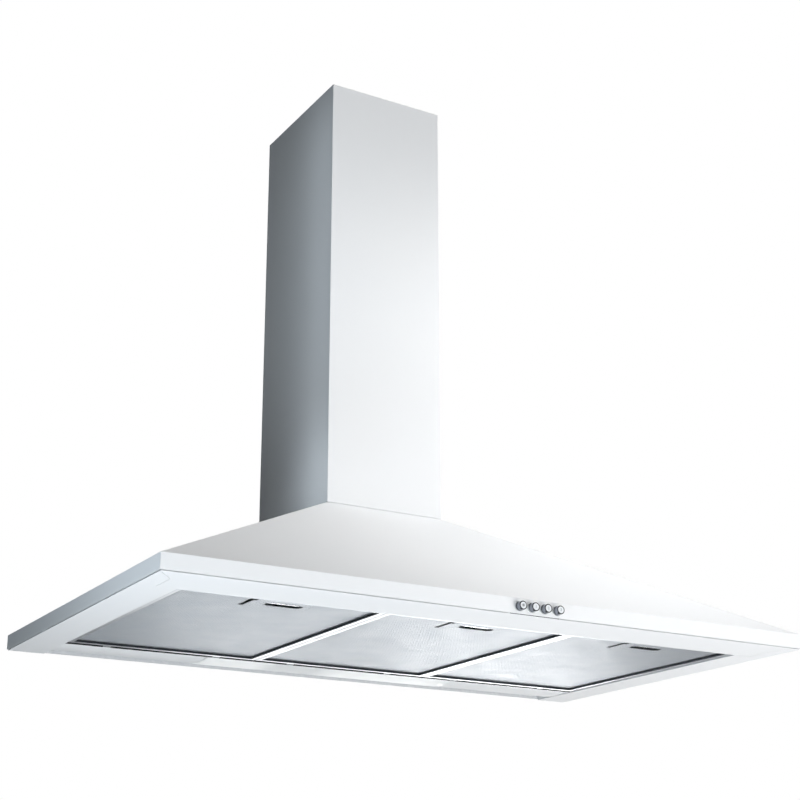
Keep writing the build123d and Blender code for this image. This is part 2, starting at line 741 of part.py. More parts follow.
with BuildPart() as lamp_cover:
    with BuildSketch(Plane.YZ):
        with Locations((band_low_y, band_axis_z)):
            Circle(band_radius)
            Circle(band_radius - cover_wall, mode=Mode.SUBTRACT)
        with Locations((cover_mid_y, rim_bottom)):
            Rectangle(cover_depth, cover_flange_height, align=(Align.CENTER, Align.MIN), mode=Mode.INTERSECT)
        with Locations((cover_mid_y, rim_bottom + cover_flange_height)):
            with GridLocations(cover_depth - cover_wall, 0, 2, 1):
                Rectangle(cover_wall, cover_flange_height - cover_wall, align=(Align.CENTER, Align.MAX))
    extrude(amount=cover_length / 2, both=True)
    with BuildSketch(Plane.XZ.offset(-cover_mid_y)):
        with Locations((cover_pin_x, cover_pin_z)):
            Rectangle(2 * cover_end_radius, 4 * cover_end_radius, align=(Align.MAX, Align.CENTER))
            Circle(cover_end_radius, mode=Mode.SUBTRACT)
    extrude(amount=cover_depth, both=True, mode=Mode.SUBTRACT)
    with BuildSketch(Plane.XY.offset(lamp_boss_top)):
        with Locations((lamp_screw_x, cover_mid_y)):
            Circle(lamp_boss_radius)
    extrude(amount=lamp_screw_z + cover_wall / 2 - lamp_boss_top)
    with BuildSketch(Plane.XY.offset(rim_bottom)):
        with Locations((lamp_screw_x, cover_mid_y)):
            Circle(lamp_screw_head + screw_clearance)
    extrude(amount=lamp_screw_z - rim_bottom + lamp_screw_head_height + screw_clearance, mode=Mode.SUBTRACT)
    with BuildSketch(Plane.XY.offset(lamp_screw_z)):
        with Locations((lamp_screw_x, cover_mid_y)):
            Circle(lamp_screw_radius + screw_clearance)
    extrude(amount=lamp_boss_top - lamp_screw_z, mode=Mode.SUBTRACT)
    with BuildSketch(Plane.XZ.offset(-cover_front_y)):
        with Locations((cover_pin_x, cover_pin_z)):
            Circle(hinge_pin_radius)
    extrude(amount=hinge_pin_reach)
    with BuildSketch(Plane.XZ.offset(-cover_rear_y)):
        with Locations((cover_pin_x, cover_pin_z)):
            Circle(hinge_pin_radius)
    extrude(amount=-hinge_pin_reach)
lamp_cover.part.label = "lamp_cover"
export_step(lamp_cover.part, "parts/lamp_cover.step")

with BuildPart() as lamp_cover_screw:
    with BuildSketch(Plane.XY.offset(lamp_screw_z + screw_clearance / 2)):
        with Locations((lamp_screw_x, cover_mid_y)):
            Circle(lamp_screw_head)
    extrude(amount=lamp_screw_head_height)
    with BuildSketch(Plane.XY.offset(lamp_screw_z + screw_clearance / 2)):
        with Locations((lamp_screw_x, cover_mid_y)):
            Rectangle(lamp_screw_slot_length, lamp_screw_slot_width)
    extrude(amount=lamp_screw_head_height / 2, mode=Mode.SUBTRACT)
    with BuildSketch(Plane.XY.offset(lamp_screw_z + lamp_screw_head_height)):
        with Locations((lamp_screw_x, cover_mid_y)):
            Circle(lamp_screw_radius)
    extrude(amount=lamp_screw_length - lamp_screw_head_height)
lamp_cover_screw.part.label = "lamp_cover_screw"
export_step(lamp_cover_screw.part, "parts/lamp_cover_screw.step")

with BuildPart() as lamp_tray:
    with BuildSketch(Plane.YZ):
        with Locations((cover_mid_y, rim_bottom)):
            Rectangle(tray_width_y, tray_top, align=(Align.CENTER, Align.MIN))
        with Locations((band_low_y, band_axis_z)):
            Circle(band_radius - lamp_sheet - seat_gap, mode=Mode.INTERSECT)
    extrude(amount=tray_length / 2, both=True)
    with BuildSketch(Plane.YZ):
        with Locations((cover_mid_y, rim_bottom)):
            Rectangle(tray_width_y - 2 * lamp_sheet, tray_top - lamp_sheet, align=(Align.CENTER, Align.MIN))
    extrude(amount=tray_length / 2 - lamp_sheet, both=True, mode=Mode.SUBTRACT)
    with BuildSketch(Plane.XY.offset(rim_bottom + lug_height)):
        with Locations((tray_length / 2 - lamp_sheet / 2, cover_mid_y)):
            Rectangle(lug_length, lug_width, align=(Align.MAX, Align.CENTER))
        with Locations((lamp_screw_x, cover_mid_y)):
            Circle(lamp_screw_radius + screw_clearance, mode=Mode.SUBTRACT)
    extrude(amount=lamp_sheet)
    with BuildSketch(Plane.XZ.offset(-cover_mid_y)):
        with Locations((cover_pin_x, cover_pin_z)):
            Circle(hinge_pin_radius + hinge_pin_fit)
    extrude(amount=tray_width_y, both=True, mode=Mode.SUBTRACT)
lamp_tray.part.label = "lamp_tray"
export_step(lamp_tray.part, "parts/lamp_tray.step")

# Two candle lamps, each in a holder under the tray's top
for side, holder_x in (("left", lamp_left_x), ("right", lamp_right_x)):
    with BuildPart() as lamp_holder:
        with BuildSketch(Plane.YZ.offset(holder_x)):
            with Locations((cover_mid_y, lamp_z)):
                Circle(lamp_holder_radius)
                Rectangle(
                    lamp_holder_foot,
                    tray_top - lamp_sheet - seat_gap - lamp_level,
                    align=(Align.CENTER, Align.MIN),
                )
        extrude(amount=-lamp_holder_length)
        with BuildSketch(Plane.YZ.offset(holder_x - lamp_holder_length)):
            with Locations((cover_mid_y, lamp_z)):
                Circle(lamp_cap_radius + seat_gap)
        extrude(amount=lamp_cap_length, mode=Mode.SUBTRACT)
    lamp_holder.part.label = f"lamp_holder_{side}"
    export_step(lamp_holder.part, f"parts/lamp_holder_{side}.step")

    glass_x = holder_x - lamp_holder_length - seat_gap
    with BuildPart() as lamp:
        with BuildSketch(Plane.XZ.offset(-cover_mid_y)):
            with BuildLine():
                Line((glass_x - lamp_length, lamp_z), (glass_x, lamp_z))
                Line((glass_x, lamp_z), (glass_x, lamp_z + lamp_neck_radius))
                Spline(
                    (glass_x, lamp_z + lamp_neck_radius),
                    (glass_x - lamp_shoulder, lamp_z + lamp_radius),
                    (glass_x - lamp_length, lamp_z),
                    tangents=((-2, 1), (-1, -2)),
                )
            make_face()
        revolve(axis=Axis((0, cover_mid_y, lamp_z), (1, 0, 0)))
        with BuildSketch(Plane.YZ.offset(glass_x)):
            with Locations((cover_mid_y, lamp_z)):
                Circle(lamp_cap_radius)
        extrude(amount=lamp_cap_length - seat_gap)
    lamp.part.label = f"lamp_{side}"
    export_step(lamp.part, f"parts/lamp_{side}.step")

# Chimney: a lower cover round the collar, and an upper one that slides out of it
with BuildPart() as chimney_lower:
    with BuildSketch(Plane.XY.offset(canopy_top)):
        Rectangle(chimney_width, chimney_depth, align=(Align.CENTER, Align.MAX))
        with Locations((0, -sheet)):
            Rectangle(
                chimney_width - 2 * sheet,
                chimney_depth - 2 * sheet,
                align=(Align.CENTER, Align.MAX),
                mode=Mode.SUBTRACT,
            )
        Rectangle(
            chimney_width - 2 * return_width,
            2 * sheet,
            align=(Align.CENTER, Align.MAX),
            mode=Mode.SUBTRACT,
        )
    extrude(amount=chimney_height)
    with BuildSketch(Plane.XY.offset(canopy_top)):
        Rectangle(chimney_width - 2 * sheet, 2 * sheet, align=(Align.CENTER, Align.MAX))
    extrude(amount=collar_height + seat_gap, mode=Mode.SUBTRACT)
chimney_lower.part.label = "chimney_lower"
export_step(chimney_lower.part, "parts/chimney_lower.step")

with BuildPart() as chimney_upper:
    with BuildSketch(Plane.XY.offset(chimney_top)):
        with Locations((0, -upper_rear)):
            Rectangle(upper_width, upper_front - upper_rear, align=(Align.CENTER, Align.MAX))
            Rectangle(
                upper_width - 2 * return_width,
                2 * sheet,
                align=(Align.CENTER, Align.MAX),
                mode=Mode.SUBTRACT,
            )
        with Locations((0, -upper_rear - sheet)):
            Rectangle(
                upper_width - 2 * sheet,
                upper_front - upper_rear - 2 * sheet,
                align=(Align.CENTER, Align.MAX),
                mode=Mode.SUBTRACT,
            )
    extrude(amount=-upper_length)
chimney_upper.part.label = "chimney_upper"
export_step(chimney_upper.part, "parts/chimney_upper.step")

with BuildPart() as ceiling_bracket:
    with BuildSketch(Plane.XY.offset(bracket_z)):
        with BuildLine() as bracket_line:
            Polyline(
                (-bracket_x, -bracket_arm),
                (-bracket_x, bracket_y),
                (bracket_step - upper_width / 2 + return_width, bracket_y),
                (2 * bracket_step - upper_width / 2 + return_width, -sheet / 2),
                (upper_width / 2 - return_width - 2 * bracket_step, -sheet / 2),
                (upper_width / 2 - return_width - bracket_step, bracket_y),
                (bracket_x, bracket_y),
                (bracket_x, -bracket_arm),
            )
        trace(line_width=sheet)
    extrude(amount=bracket_height)
    with BuildSketch(Plane.XZ):
        with Locations((0, bracket_z + bracket_height / 2)):
            with GridLocations(bracket_hole_spacing, 0, 2, 1):
                Circle(bracket_hole_radius)
    extrude(amount=2 * sheet, mode=Mode.SUBTRACT)
ceiling_bracket.part.label = "ceiling_bracket"
export_step(ceiling_bracket.part, "parts/ceiling_bracket.step")

# Blower deck: a plate on the collar that carries the casing's feet
with BuildPart() as blower_deck:
    with BuildSketch(Plane.XY.offset(deck_bottom)):
        with Locations((0, frame_rear)):
            Rectangle(
                chimney_width - 2 * (sheet + deck_inset),
                chimney_depth - sheet - deck_inset + frame_rear,
                align=(Align.CENTER, Align.MAX),
            )
        with Locations((0, -deck_opening_rear)):
            Rectangle(
                deck_opening_width,
                deck_opening_front - deck_opening_rear,
                align=(Align.CENTER, Align.MAX),
                mode=Mode.SUBTRACT,
            )
        with Locations(*foot_screw_points):
            Circle(casing_screw_radius + screw_clearance, mode=Mode.SUBTRACT)
    extrude(amount=deck_sheet)
    with BuildSketch(Plane.XY.offset(deck_bottom)):
        with Locations((0, -deck_opening_rear)):
            with GridLocations(collar_width - 2 * (sheet + seat_gap) - deck_sheet, 0, 2, 1):
                Rectangle(
                    deck_sheet,
                    deck_opening_front - deck_opening_rear,
                    align=(Align.CENTER, Align.MAX),
                )
    extrude(amount=-deck_flange)
blower_deck.part.label = "blower_deck"
export_step(blower_deck.part, "parts/blower_deck.step")

# Scroll casing: two halves that meet in the middle, with bosses, feet and an inlet in each side
for side, sign in (("left", -1), ("right", 1)):
    with BuildPart() as casing:
        with BuildSketch(Plane.YZ):
            with BuildLine():
                CenterArc(first_centre, scroll_radius, 90, -90)
                CenterArc(second_centre, second_radius, 0, -90)
                CenterArc(third_centre, third_radius, -90, -90)
                Polyline(
                    (duct_front, scroll_z + scroll_step),
                    (duct_front, duct_top),
                    (scroll_y, duct_top),
                    (scroll_y, scroll_z + scroll_radius),
                )
            make_face()
        extrude(amount=sign * casing_half)
        with BuildSketch(Plane.YZ.offset(sign * seat_gap / 2)):
            with Locations(*boss_points):
                Circle(boss_radius)
        extrude(amount=sign * boss_length)
        with BuildSketch(Plane.YZ.offset(sign * seat_gap / 2)):
            with Locations(*boss_points):
                Circle(casing_screw_radius + screw_clearance)
        extrude(amount=sign * boss_length, mode=Mode.SUBTRACT)
        for foot_y in foot_ys:
            with BuildSketch(Plane.XY.offset(foot_z)):
                with Locations((sign * (casing_half - casing_wall), foot_y)):
                    Rectangle(
                        2 * (foot_reach - casing_half + casing_wall),
                        foot_width,
                    )
                with Locations((sign * foot_screw_x, foot_y)):
                    Circle(casing_screw_radius + screw_clearance, mode=Mode.SUBTRACT)
            extrude(amount=foot_sheet)
            with BuildSketch(Plane.XZ.offset(-foot_y)):
                with BuildLine():
                    Polyline(
                        (sign * (casing_half - casing_wall), foot_z),
                        (sign * (casing_half + foot_gusset), foot_z),
                        (sign * (casing_half + foot_gusset), foot_z + foot_sheet),
                        (sign * (casing_half - casing_wall), foot_z + foot_sheet + foot_gusset),
                        close=True,
                    )
                make_face()
            extrude(amount=foot_sheet / 2, both=True)
        with BuildSketch(Plane.YZ):
            with BuildLine():
                CenterArc(first_centre, scroll_radius - casing_wall, 90, -90)
                CenterArc(second_centre, second_radius - casing_wall, 0, -90)
                CenterArc(third_centre, third_radius - casing_wall, -90, -90)
                Polyline(
                    (duct_front + casing_wall, scroll_z + scroll_step),
                    (duct_front + casing_wall, duct_top),
                    (scroll_y - casing_wall, duct_top),
                    (scroll_y - casing_wall, scroll_z + scroll_radius - casing_wall),
                    (scroll_y, scroll_z + scroll_radius - casing_wall),
                )
            make_face()
        extrude(amount=sign * (casing_half - casing_wall), mode=Mode.SUBTRACT)
        with BuildSketch(Plane.YZ):
            with Locations((impeller_y, impeller_z)):
                Circle(inlet_radius + inlet_wall + seat_gap)
        extrude(amount=sign * casing_half, mode=Mode.SUBTRACT)
        split(bisect_by=Plane.YZ.offset(sign * seat_gap / 2), keep=Keep.TOP if sign > 0 else Keep.BOTTOM)
    casing.part.label = f"casing_{side}"
    export_step(casing.part, f"parts/casing_{side}.step")

    with BuildPart() as inlet_ring:
        with BuildSketch(Plane.YZ.offset(sign * (casing_half + seat_gap))):
            with Locations((impeller_y, impeller_z)):
                Circle(inlet_flange_radius)
                Circle(inlet_radius, mode=Mode.SUBTRACT)
        extrude(amount=sign * inlet_wall)
        with BuildSketch(Plane.YZ.offset(sign * inlet_reach)):
            with Locations((impeller_y, impeller_z)):
                Circle(inlet_radius + inlet_wall)
                Circle(inlet_radius, mode=Mode.SUBTRACT)
        extrude(amount=sign * (inlet_face - inlet_reach))
        outer_face = inlet_ring.faces().sort_by(Axis.X)[-1 if sign > 0 else 0]
        fillet(outer_face.edges().sort_by(SortBy.RADIUS)[0], radius=inlet_round)
    inlet_ring.part.label = f"inlet_ring_{side}"
    export_step(inlet_ring.part, f"parts/inlet_ring_{side}.step")

# Impeller: a double drum of forward-curved blades on a centre disc, on the motor's shaft
with BuildSketch() as blade:
    with BuildLine():
        RadiusArc((impeller_root, 0), (tip_y, tip_z), blade_curve)
        Line((tip_y, tip_z), (tip_y, tip_z - blade_sheet))
        RadiusArc((impeller_root, -blade_sheet), (tip_y, tip_z - blade_sheet), blade_curve)
        Line((impeller_root, -blade_sheet), (impeller_root, 0))
    make_face()

with BuildPart() as impeller:
    with BuildSketch(Plane.YZ):
        with Locations((impeller_y, impeller_z)):
            with PolarLocations(0, blade_count):
                add(blade.sketch)
    extrude(amount=impeller_half, both=True)
    for sign in (-1, 1):
        with BuildSketch(Plane.YZ.offset(sign * impeller_half)):
            with Locations((impeller_y, impeller_z)):
                Circle(impeller_radius)
                Circle(impeller_radius - impeller_ring, mode=Mode.SUBTRACT)
        extrude(amount=-sign * impeller_ring_sheet)
    with BuildSketch(Plane.YZ):
        with Locations((impeller_y, impeller_z)):
            Circle(impeller_radius - impeller_ring)
    extrude(amount=impeller_disc_sheet / 2, both=True)
    with BuildSketch(Plane.YZ.offset(-hub_back)):
        with Locations((impeller_y, impeller_z)):
            Circle(hub_radius)
    extrude(amount=hub_back + hub_front)
    with BuildSketch(Plane.YZ.offset(-hub_back)):
        with Locations((impeller_y, impeller_z)):
            Circle(shaft_radius + shaft_fit)
    extrude(amount=hub_back + hub_front, mode=Mode.SUBTRACT)
impeller.part.label = "impeller"
export_step(impeller.part, "parts/impeller.step")

with BuildPart() as motor_shaft:
    with BuildSketch(Plane.YZ.offset(-shaft_rear)):
        with Locations((impeller_y, impeller_z)):
            Circle(shaft_radius)
    extrude(amount=shaft_rear + hub_front)
motor_shaft.part.label = "motor_shaft"
export_step(motor_shaft.part, "parts/motor_shaft.step")

with BuildPart() as motor:
    with BuildSketch(Plane.YZ.offset(-motor_rear)):
        with Locations((impeller_y, impeller_z)):
            Circle(motor_radius)
    extrude(amount=motor_rear - motor_front)
    fillet(motor.edges().filter_by(GeomType.CIRCLE), radius=motor_round)
    with BuildSketch(Plane.YZ.offset(-bracket_outer - seat_gap)):
        with Locations((impeller_y, impeller_z)):
            Circle(motor_flange_radius)
    extrude(amount=-motor_flange_sheet)
    with BuildSketch(Plane.YZ.offset(-shaft_rear - seat_gap)):
        with Locations((impeller_y, impeller_z)):
            Circle(shaft_radius + shaft_fit)
    extrude(amount=shaft_rear + seat_gap, mode=Mode.SUBTRACT)
motor.part.label = "motor"
export_step(motor.part, "parts/motor.step")

with BuildPart() as motor_bracket:
    with BuildSketch(Plane.YZ.offset(-bracket_outer)):
        with Locations((impeller_y, impeller_z)):
            with PolarLocations(0, arm_count, start_angle=arm_angle):
                Rectangle(arm_foot_circle, arm_width, align=(Align.MIN, Align.CENTER))
            with PolarLocations(arm_foot_circle, arm_count, start_angle=arm_angle):
                Circle(arm_width / 2)
            Circle(motor_flange_radius)
            Circle(motor_radius + seat_gap, mode=Mode.SUBTRACT)
    extrude(amount=bracket_sheet)
    with BuildSketch(Plane.YZ.offset(-bracket_inner)):
        with Locations((impeller_y, impeller_z)):
            with PolarLocations(arm_foot_circle, arm_count, start_angle=arm_angle):
                Circle(arm_foot_radius)
    extrude(amount=bracket_inner - casing_half - seat_gap)
motor_bracket.part.label = "motor_bracket"
export_step(motor_bracket.part, "parts/motor_bracket.step")

with BuildPart() as casing_screws:
    with BuildSketch(Plane.YZ.offset(seat_gap / 2 + boss_length + seat_gap / 2)):
        with Locations(*boss_points):
            Circle(casing_screw_head)
    extrude(amount=screw_head_height)
    with BuildSketch(Plane.YZ.offset(-boss_length)):
        with Locations(*boss_points):
            Circle(casing_screw_radius)
    extrude(amount=2 * boss_length + 2 * seat_gap)
casing_screws.part.label = "casing_screws"
export_step(casing_screws.part, "parts/casing_screws.step")

with BuildPart() as deck_screws:
    with BuildSketch(Plane.XY.offset(foot_top + seat_gap / 2)):
        with Locations(*foot_screw_points):
            Circle(casing_screw_head)
    extrude(amount=screw_head_height)
    with BuildSketch(Plane.XY.offset(deck_bottom - 2 * deck_sheet)):
        with Locations(*foot_screw_points):
            Circle(casing_screw_radius)
    extrude(amount=foot_top + seat_gap - deck_bottom + 2 * deck_sheet)
deck_screws.part.label = "deck_screws"
export_step(deck_screws.part, "parts/deck_screws.step")

# Outlet collar: from the casing's square outlet to a round spigot, with a pair of non-return flaps
with BuildPart() as outlet_collar:
    with BuildSketch(Plane.XY.offset(collar_base)):
        with Locations((0, duct_y)):
            RectangleRounded(
                2 * (casing_half + seat_gap + casing_wall),
                duct_depth + 2 * (seat_gap + casing_wall),
                corner_round,
            )
    with BuildSketch(Plane.XY.offset(spigot_base)):
        with Locations((0, spigot_y)):
            Circle(spigot_radius)
    loft()
    with BuildSketch(Plane.XY.offset(spigot_base)):
        with Locations((0, spigot_y)):
            Circle(spigot_radius)
    extrude(amount=spigot_height)
    with BuildSketch(Plane.XY.offset(collar_base)):
        with Locations((0, duct_y)):
            RectangleRounded(
                2 * (casing_half + seat_gap + casing_wall),
                duct_depth + 2 * (seat_gap + casing_wall),
                corner_round,
            )
    extrude(amount=skirt_bottom - collar_base)
    with BuildSketch(Plane.XY.offset(collar_base)):
        with Locations((0, duct_y)):
            RectangleRounded(
                2 * (casing_half - casing_wall),
                duct_depth - 2 * casing_wall,
                corner_round - casing_wall,
            )
    with BuildSketch(Plane.XY.offset(spigot_base)):
        with Locations((0, spigot_y)):
            Circle(spigot_radius - spigot_wall)
    loft(mode=Mode.SUBTRACT)
    with BuildSketch(Plane.XY.offset(collar_base)):
        with Locations((0, duct_y)):
            Rectangle(2 * (casing_half + seat_gap), duct_depth + 2 * seat_gap)
    extrude(amount=skirt_bottom - collar_base, mode=Mode.SUBTRACT)
    with BuildSketch(Plane.XY.offset(spigot_base)):
        with Locations((0, spigot_y)):
            Circle(spigot_radius - spigot_wall)
    extrude(amount=spigot_height, mode=Mode.SUBTRACT)
    with BuildSketch(Plane.XY.offset(flap_z - flap_sheet / 2 - seat_gap)):
        with Locations((0, spigot_y)):
            Circle(spigot_radius - spigot_wall / 2)
            Circle(spigot_radius - spigot_wall - ledge_width, mode=Mode.SUBTRACT)
    extrude(amount=-spigot_wall)
    with BuildSketch(Plane.YZ):
        with Locations((spigot_y, flap_z)):
            Circle(flap_pin_radius + flap_pin_fit)
    extrude(amount=spigot_radius, both=True, mode=Mode.SUBTRACT)
outlet_collar.part.label = "outlet_collar"
export_step(outlet_collar.part, "parts/outlet_collar.step")

with BuildPart() as flap_pin:
    with BuildSketch(Plane.YZ):
        with Locations((spigot_y, flap_z)):
            Circle(flap_pin_radius)
    extrude(amount=spigot_radius - flap_pin_fit, both=True)
flap_pin.part.label = "flap_pin"
export_step(flap_pin.part, "parts/flap_pin.step")

for side, sign, knuckle_xs in (
    ("front", -1, (-2 * knuckle_pitch, 0, 2 * knuckle_pitch)),
    ("rear", 1, (-knuckle_pitch, knuckle_pitch)),
):
    with BuildPart() as flap:
        with BuildSketch(Plane.XY.offset(flap_z - flap_sheet / 2)):
            with Locations((0, spigot_y)):
                Circle(flap_radius)
            with Locations((0, spigot_y + sign * (knuckle_radius + seat_gap))):
                Rectangle(
                    2 * flap_radius,
                    2 * flap_radius,
                    align=(Align.CENTER, Align.MIN if sign < 0 else Align.MAX),
                    mode=Mode.SUBTRACT,
                )
        extrude(amount=flap_sheet)
        for knuckle_x in knuckle_xs:
            with BuildSketch(Plane.YZ.offset(knuckle_x)):
                with Locations((spigot_y, flap_z)):
                    Circle(knuckle_radius)
                    Rectangle(
                        2 * knuckle_radius,
                        flap_sheet,
                        align=(Align.MAX if sign < 0 else Align.MIN, Align.CENTER),
                    )
            extrude(amount=knuckle_length / 2, both=True)
        with BuildSketch(Plane.YZ):
            with Locations((spigot_y, flap_z)):
                Circle(flap_pin_radius + flap_pin_fit)
        extrude(amount=spigot_radius, both=True, mode=Mode.SUBTRACT)
    flap.part.label = f"flap_{side}"
    export_step(flap.part, f"parts/flap_{side}.step")

# Electrics: terminal box with its cable gland, and the motor's capacitor beside it
with BuildPart() as terminal_box:
    with BuildSketch(Plane.XZ.offset(-frame_rear)):
        with Locations((terminal_box_x, box_bottom)):
            Rectangle(terminal_box_width, terminal_box_height, align=(Align.CENTER, Align.MIN))
    extrude(amount=terminal_box_depth)
    fillet(terminal_box.edges().filter_by(Axis.Y), radius=terminal_box_round)
    with BuildSketch(Plane.XZ.offset(-box_front - box_lid_sheet)):
        with Locations((terminal_box_x, box_bottom + terminal_box_height / 2)):
            Rectangle(terminal_box_width, terminal_box_height)
            RectangleRounded(
                terminal_box_width - box_lid_sheet,
                terminal_box_height - box_lid_sheet,
                terminal_box_round - box_lid_sheet / 2,
                mode=Mode.SUBTRACT,
            )
    extrude(amount=-box_lid_sheet / 2, mode=Mode.SUBTRACT)
terminal_box.part.label = "terminal_box"
export_step(terminal_box.part, "parts/terminal_box.step")

with BuildPart() as cable_gland:
    with BuildSketch(Plane.XY.offset(gland_foot)):
        with Locations((gland_x, gland_y)):
            RegularPolygon(gland_nut_radius, 6)
    extrude(amount=gland_nut_length)
    with BuildSketch(Plane.XY.offset(gland_foot)):
        with Locations((gland_x, gland_y)):
            Circle(gland_radius)
    extrude(amount=gland_length)
    fillet(cable_gland.edges().filter_by(GeomType.CIRCLE).sort_by(Axis.Z)[-1], radius=gland_round)
    with BuildSketch(Plane.XY.offset(gland_foot)):
        with Locations((gland_x, gland_y)):
            Circle(gland_bore)
    extrude(amount=gland_length, mode=Mode.SUBTRACT)
cable_gland.part.label = "cable_gland"
export_step(cable_gland.part, "parts/cable_gland.step")

with BuildPart() as capacitor:
    with BuildSketch(Plane.XY.offset(box_bottom)):
        with Locations((capacitor_x, frame_rear - capacitor_radius)):
            Circle(capacitor_radius)
    extrude(amount=capacitor_length)
    fillet(capacitor.edges().filter_by(GeomType.CIRCLE), radius=capacitor_round)
capacitor.part.label = "capacitor"
export_step(capacitor.part, "parts/capacitor.step")
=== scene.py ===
import bmesh
import bpy
import json
from math import cos, pi, radians, sin
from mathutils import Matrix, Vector

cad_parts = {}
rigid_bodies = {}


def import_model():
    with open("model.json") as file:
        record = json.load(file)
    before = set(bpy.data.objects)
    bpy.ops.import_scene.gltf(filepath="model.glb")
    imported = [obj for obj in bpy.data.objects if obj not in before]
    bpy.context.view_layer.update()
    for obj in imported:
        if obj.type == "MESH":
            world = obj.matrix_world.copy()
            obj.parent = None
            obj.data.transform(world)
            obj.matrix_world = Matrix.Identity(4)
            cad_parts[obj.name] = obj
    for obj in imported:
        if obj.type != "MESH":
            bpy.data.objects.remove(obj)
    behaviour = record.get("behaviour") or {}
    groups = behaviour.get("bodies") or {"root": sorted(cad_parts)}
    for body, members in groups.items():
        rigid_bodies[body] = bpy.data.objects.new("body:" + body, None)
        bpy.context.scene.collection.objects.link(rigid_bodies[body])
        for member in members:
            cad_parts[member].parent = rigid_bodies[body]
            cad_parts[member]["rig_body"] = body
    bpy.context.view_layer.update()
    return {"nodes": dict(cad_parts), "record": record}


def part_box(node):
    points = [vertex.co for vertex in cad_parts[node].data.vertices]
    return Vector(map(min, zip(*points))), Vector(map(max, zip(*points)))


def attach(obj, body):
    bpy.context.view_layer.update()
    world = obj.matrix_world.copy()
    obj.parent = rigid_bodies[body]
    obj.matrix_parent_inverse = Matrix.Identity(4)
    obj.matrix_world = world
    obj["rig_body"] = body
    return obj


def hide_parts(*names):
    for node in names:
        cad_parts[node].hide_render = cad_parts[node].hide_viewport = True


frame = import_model()
nodes = frame["nodes"]
slotOf = {part["node"]: part["material_slot"] for part in frame["record"]["subparts"]}
mm = 0.001
over = 1 * mm  # how far a cutting block reaches past the piece
near = 1 * mm  # places closer than this count as one
facing = 0.9  # a face looks along an axis when its normal has this much of it
flat = 0.99  # the same, where the canopy's slopes must not count
steep = 0.5  # the normal of a wall has less than this upwards
smoothAngle = 30  # degrees between two faces up to which an edge is shaded round
fineAngle = 35  # the same on finely faceted pieces
roundAngle = 40  # the same on turned pieces


def focus(piece):
    # this piece alone is selected and active, in object mode
    if bpy.context.object and bpy.context.object.mode != "OBJECT":
        bpy.ops.object.mode_set(mode="OBJECT")
    bpy.ops.object.select_all(action="DESELECT")
    piece.select_set(True)
    bpy.context.view_layer.objects.active = piece


def pickFaces(piece, wanted):
    # opens the piece in edit mode with the faces chosen by their middle and normal
    focus(piece)
    bpy.ops.object.mode_set(mode="EDIT")
    bpy.ops.mesh.select_mode(type="FACE")
    bpy.ops.mesh.select_all(action="DESELECT")
    mesh = bmesh.from_edit_mesh(piece.data)
    for face in mesh.faces:
        face.select_set(wanted(face.calc_center_median(), face.normal))
    bmesh.update_edit_mesh(piece.data)


def pickEdges(piece, wanted):
    # the same with edges, chosen by their two ends
    focus(piece)
    bpy.ops.object.mode_set(mode="EDIT")
    bpy.ops.mesh.select_mode(type="EDGE")
    bpy.ops.mesh.select_all(action="DESELECT")
    mesh = bmesh.from_edit_mesh(piece.data)
    for edge in mesh.edges:
        edge.select_set(wanted(edge.verts[0].co, edge.verts[1].co))
    bmesh.update_edit_mesh(piece.data)


def everyFace(middle, normal):
    return True


def closeEdit():
    bpy.ops.object.mode_set(mode="OBJECT")


def extrude(x=0.0, y=0.0, z=0.0):
    bpy.ops.mesh.extrude_region_move(TRANSFORM_OT_translate={"value": (x, y, z)})


def named(piece, name):
    piece.name = name
    piece.data.name = name
    return piece


def settle(piece):
    # puts the piece's place into its mesh
    focus(piece)
    bpy.ops.object.transform_apply(location=True, rotation=True, scale=True)


def block(name, low, high):
    low, high = Vector(low), Vector(high)
    bpy.ops.object.select_all(action="DESELECT")
    bpy.ops.mesh.primitive_cube_add(size=1, location=(low + high) / 2)
    piece = named(bpy.context.object, name)
    piece.scale = high - low
    settle(piece)
    return piece


def rod(name, centre, radius, length, axis="Z", sides=48):
    turn = {"X": (0, pi / 2, 0), "Y": (pi / 2, 0, 0), "Z": (0, 0, 0)}[axis]
    bpy.ops.object.select_all(action="DESELECT")
    bpy.ops.mesh.primitive_cylinder_add(
        vertices=sides, radius=radius, depth=length, location=centre, rotation=turn
    )
    piece = named(bpy.context.object, name)
    settle(piece)
    return piece


def flatSheet(name, low, high):
    # a flat sheet at the height of its lower corner
    bpy.ops.object.select_all(action="DESELECT")
    bpy.ops.mesh.primitive_plane_add(size=1, location=((low.x + high.x) / 2, (low.y + high.y) / 2, low.z))
    piece = named(bpy.context.object, name)
    piece.scale = (high.x - low.x, high.y - low.y, 1)
    settle(piece)
    return piece


def join(piece, others):
    focus(piece)
    for other in others:
        other.select_set(True)
    bpy.ops.object.join()
    return piece


def copyPiece(piece, name, shift):
    twin = piece.copy()
    twin.data = piece.data.copy()
    bpy.context.scene.collection.objects.link(twin)
    for vertex in twin.data.vertices:
        vertex.co += Vector(shift)
    return named(twin, name)


mergeWithin = 0.002 * mm
flatWithin = 0.4  # degrees


def copyNode(name, node):
    # the frame's own mesh of a node, with its loose triangles merged into whole faces
    piece = bpy.data.objects.new(name, nodes[node].data.copy())
    bpy.context.scene.collection.objects.link(piece)
    pickFaces(piece, everyFace)
    bpy.ops.mesh.customdata_custom_splitnormals_clear()
    bpy.ops.mesh.remove_doubles(threshold=mergeWithin)
    bpy.ops.mesh.dissolve_limited(angle_limit=radians(flatWithin))
    closeEdit()
    return piece


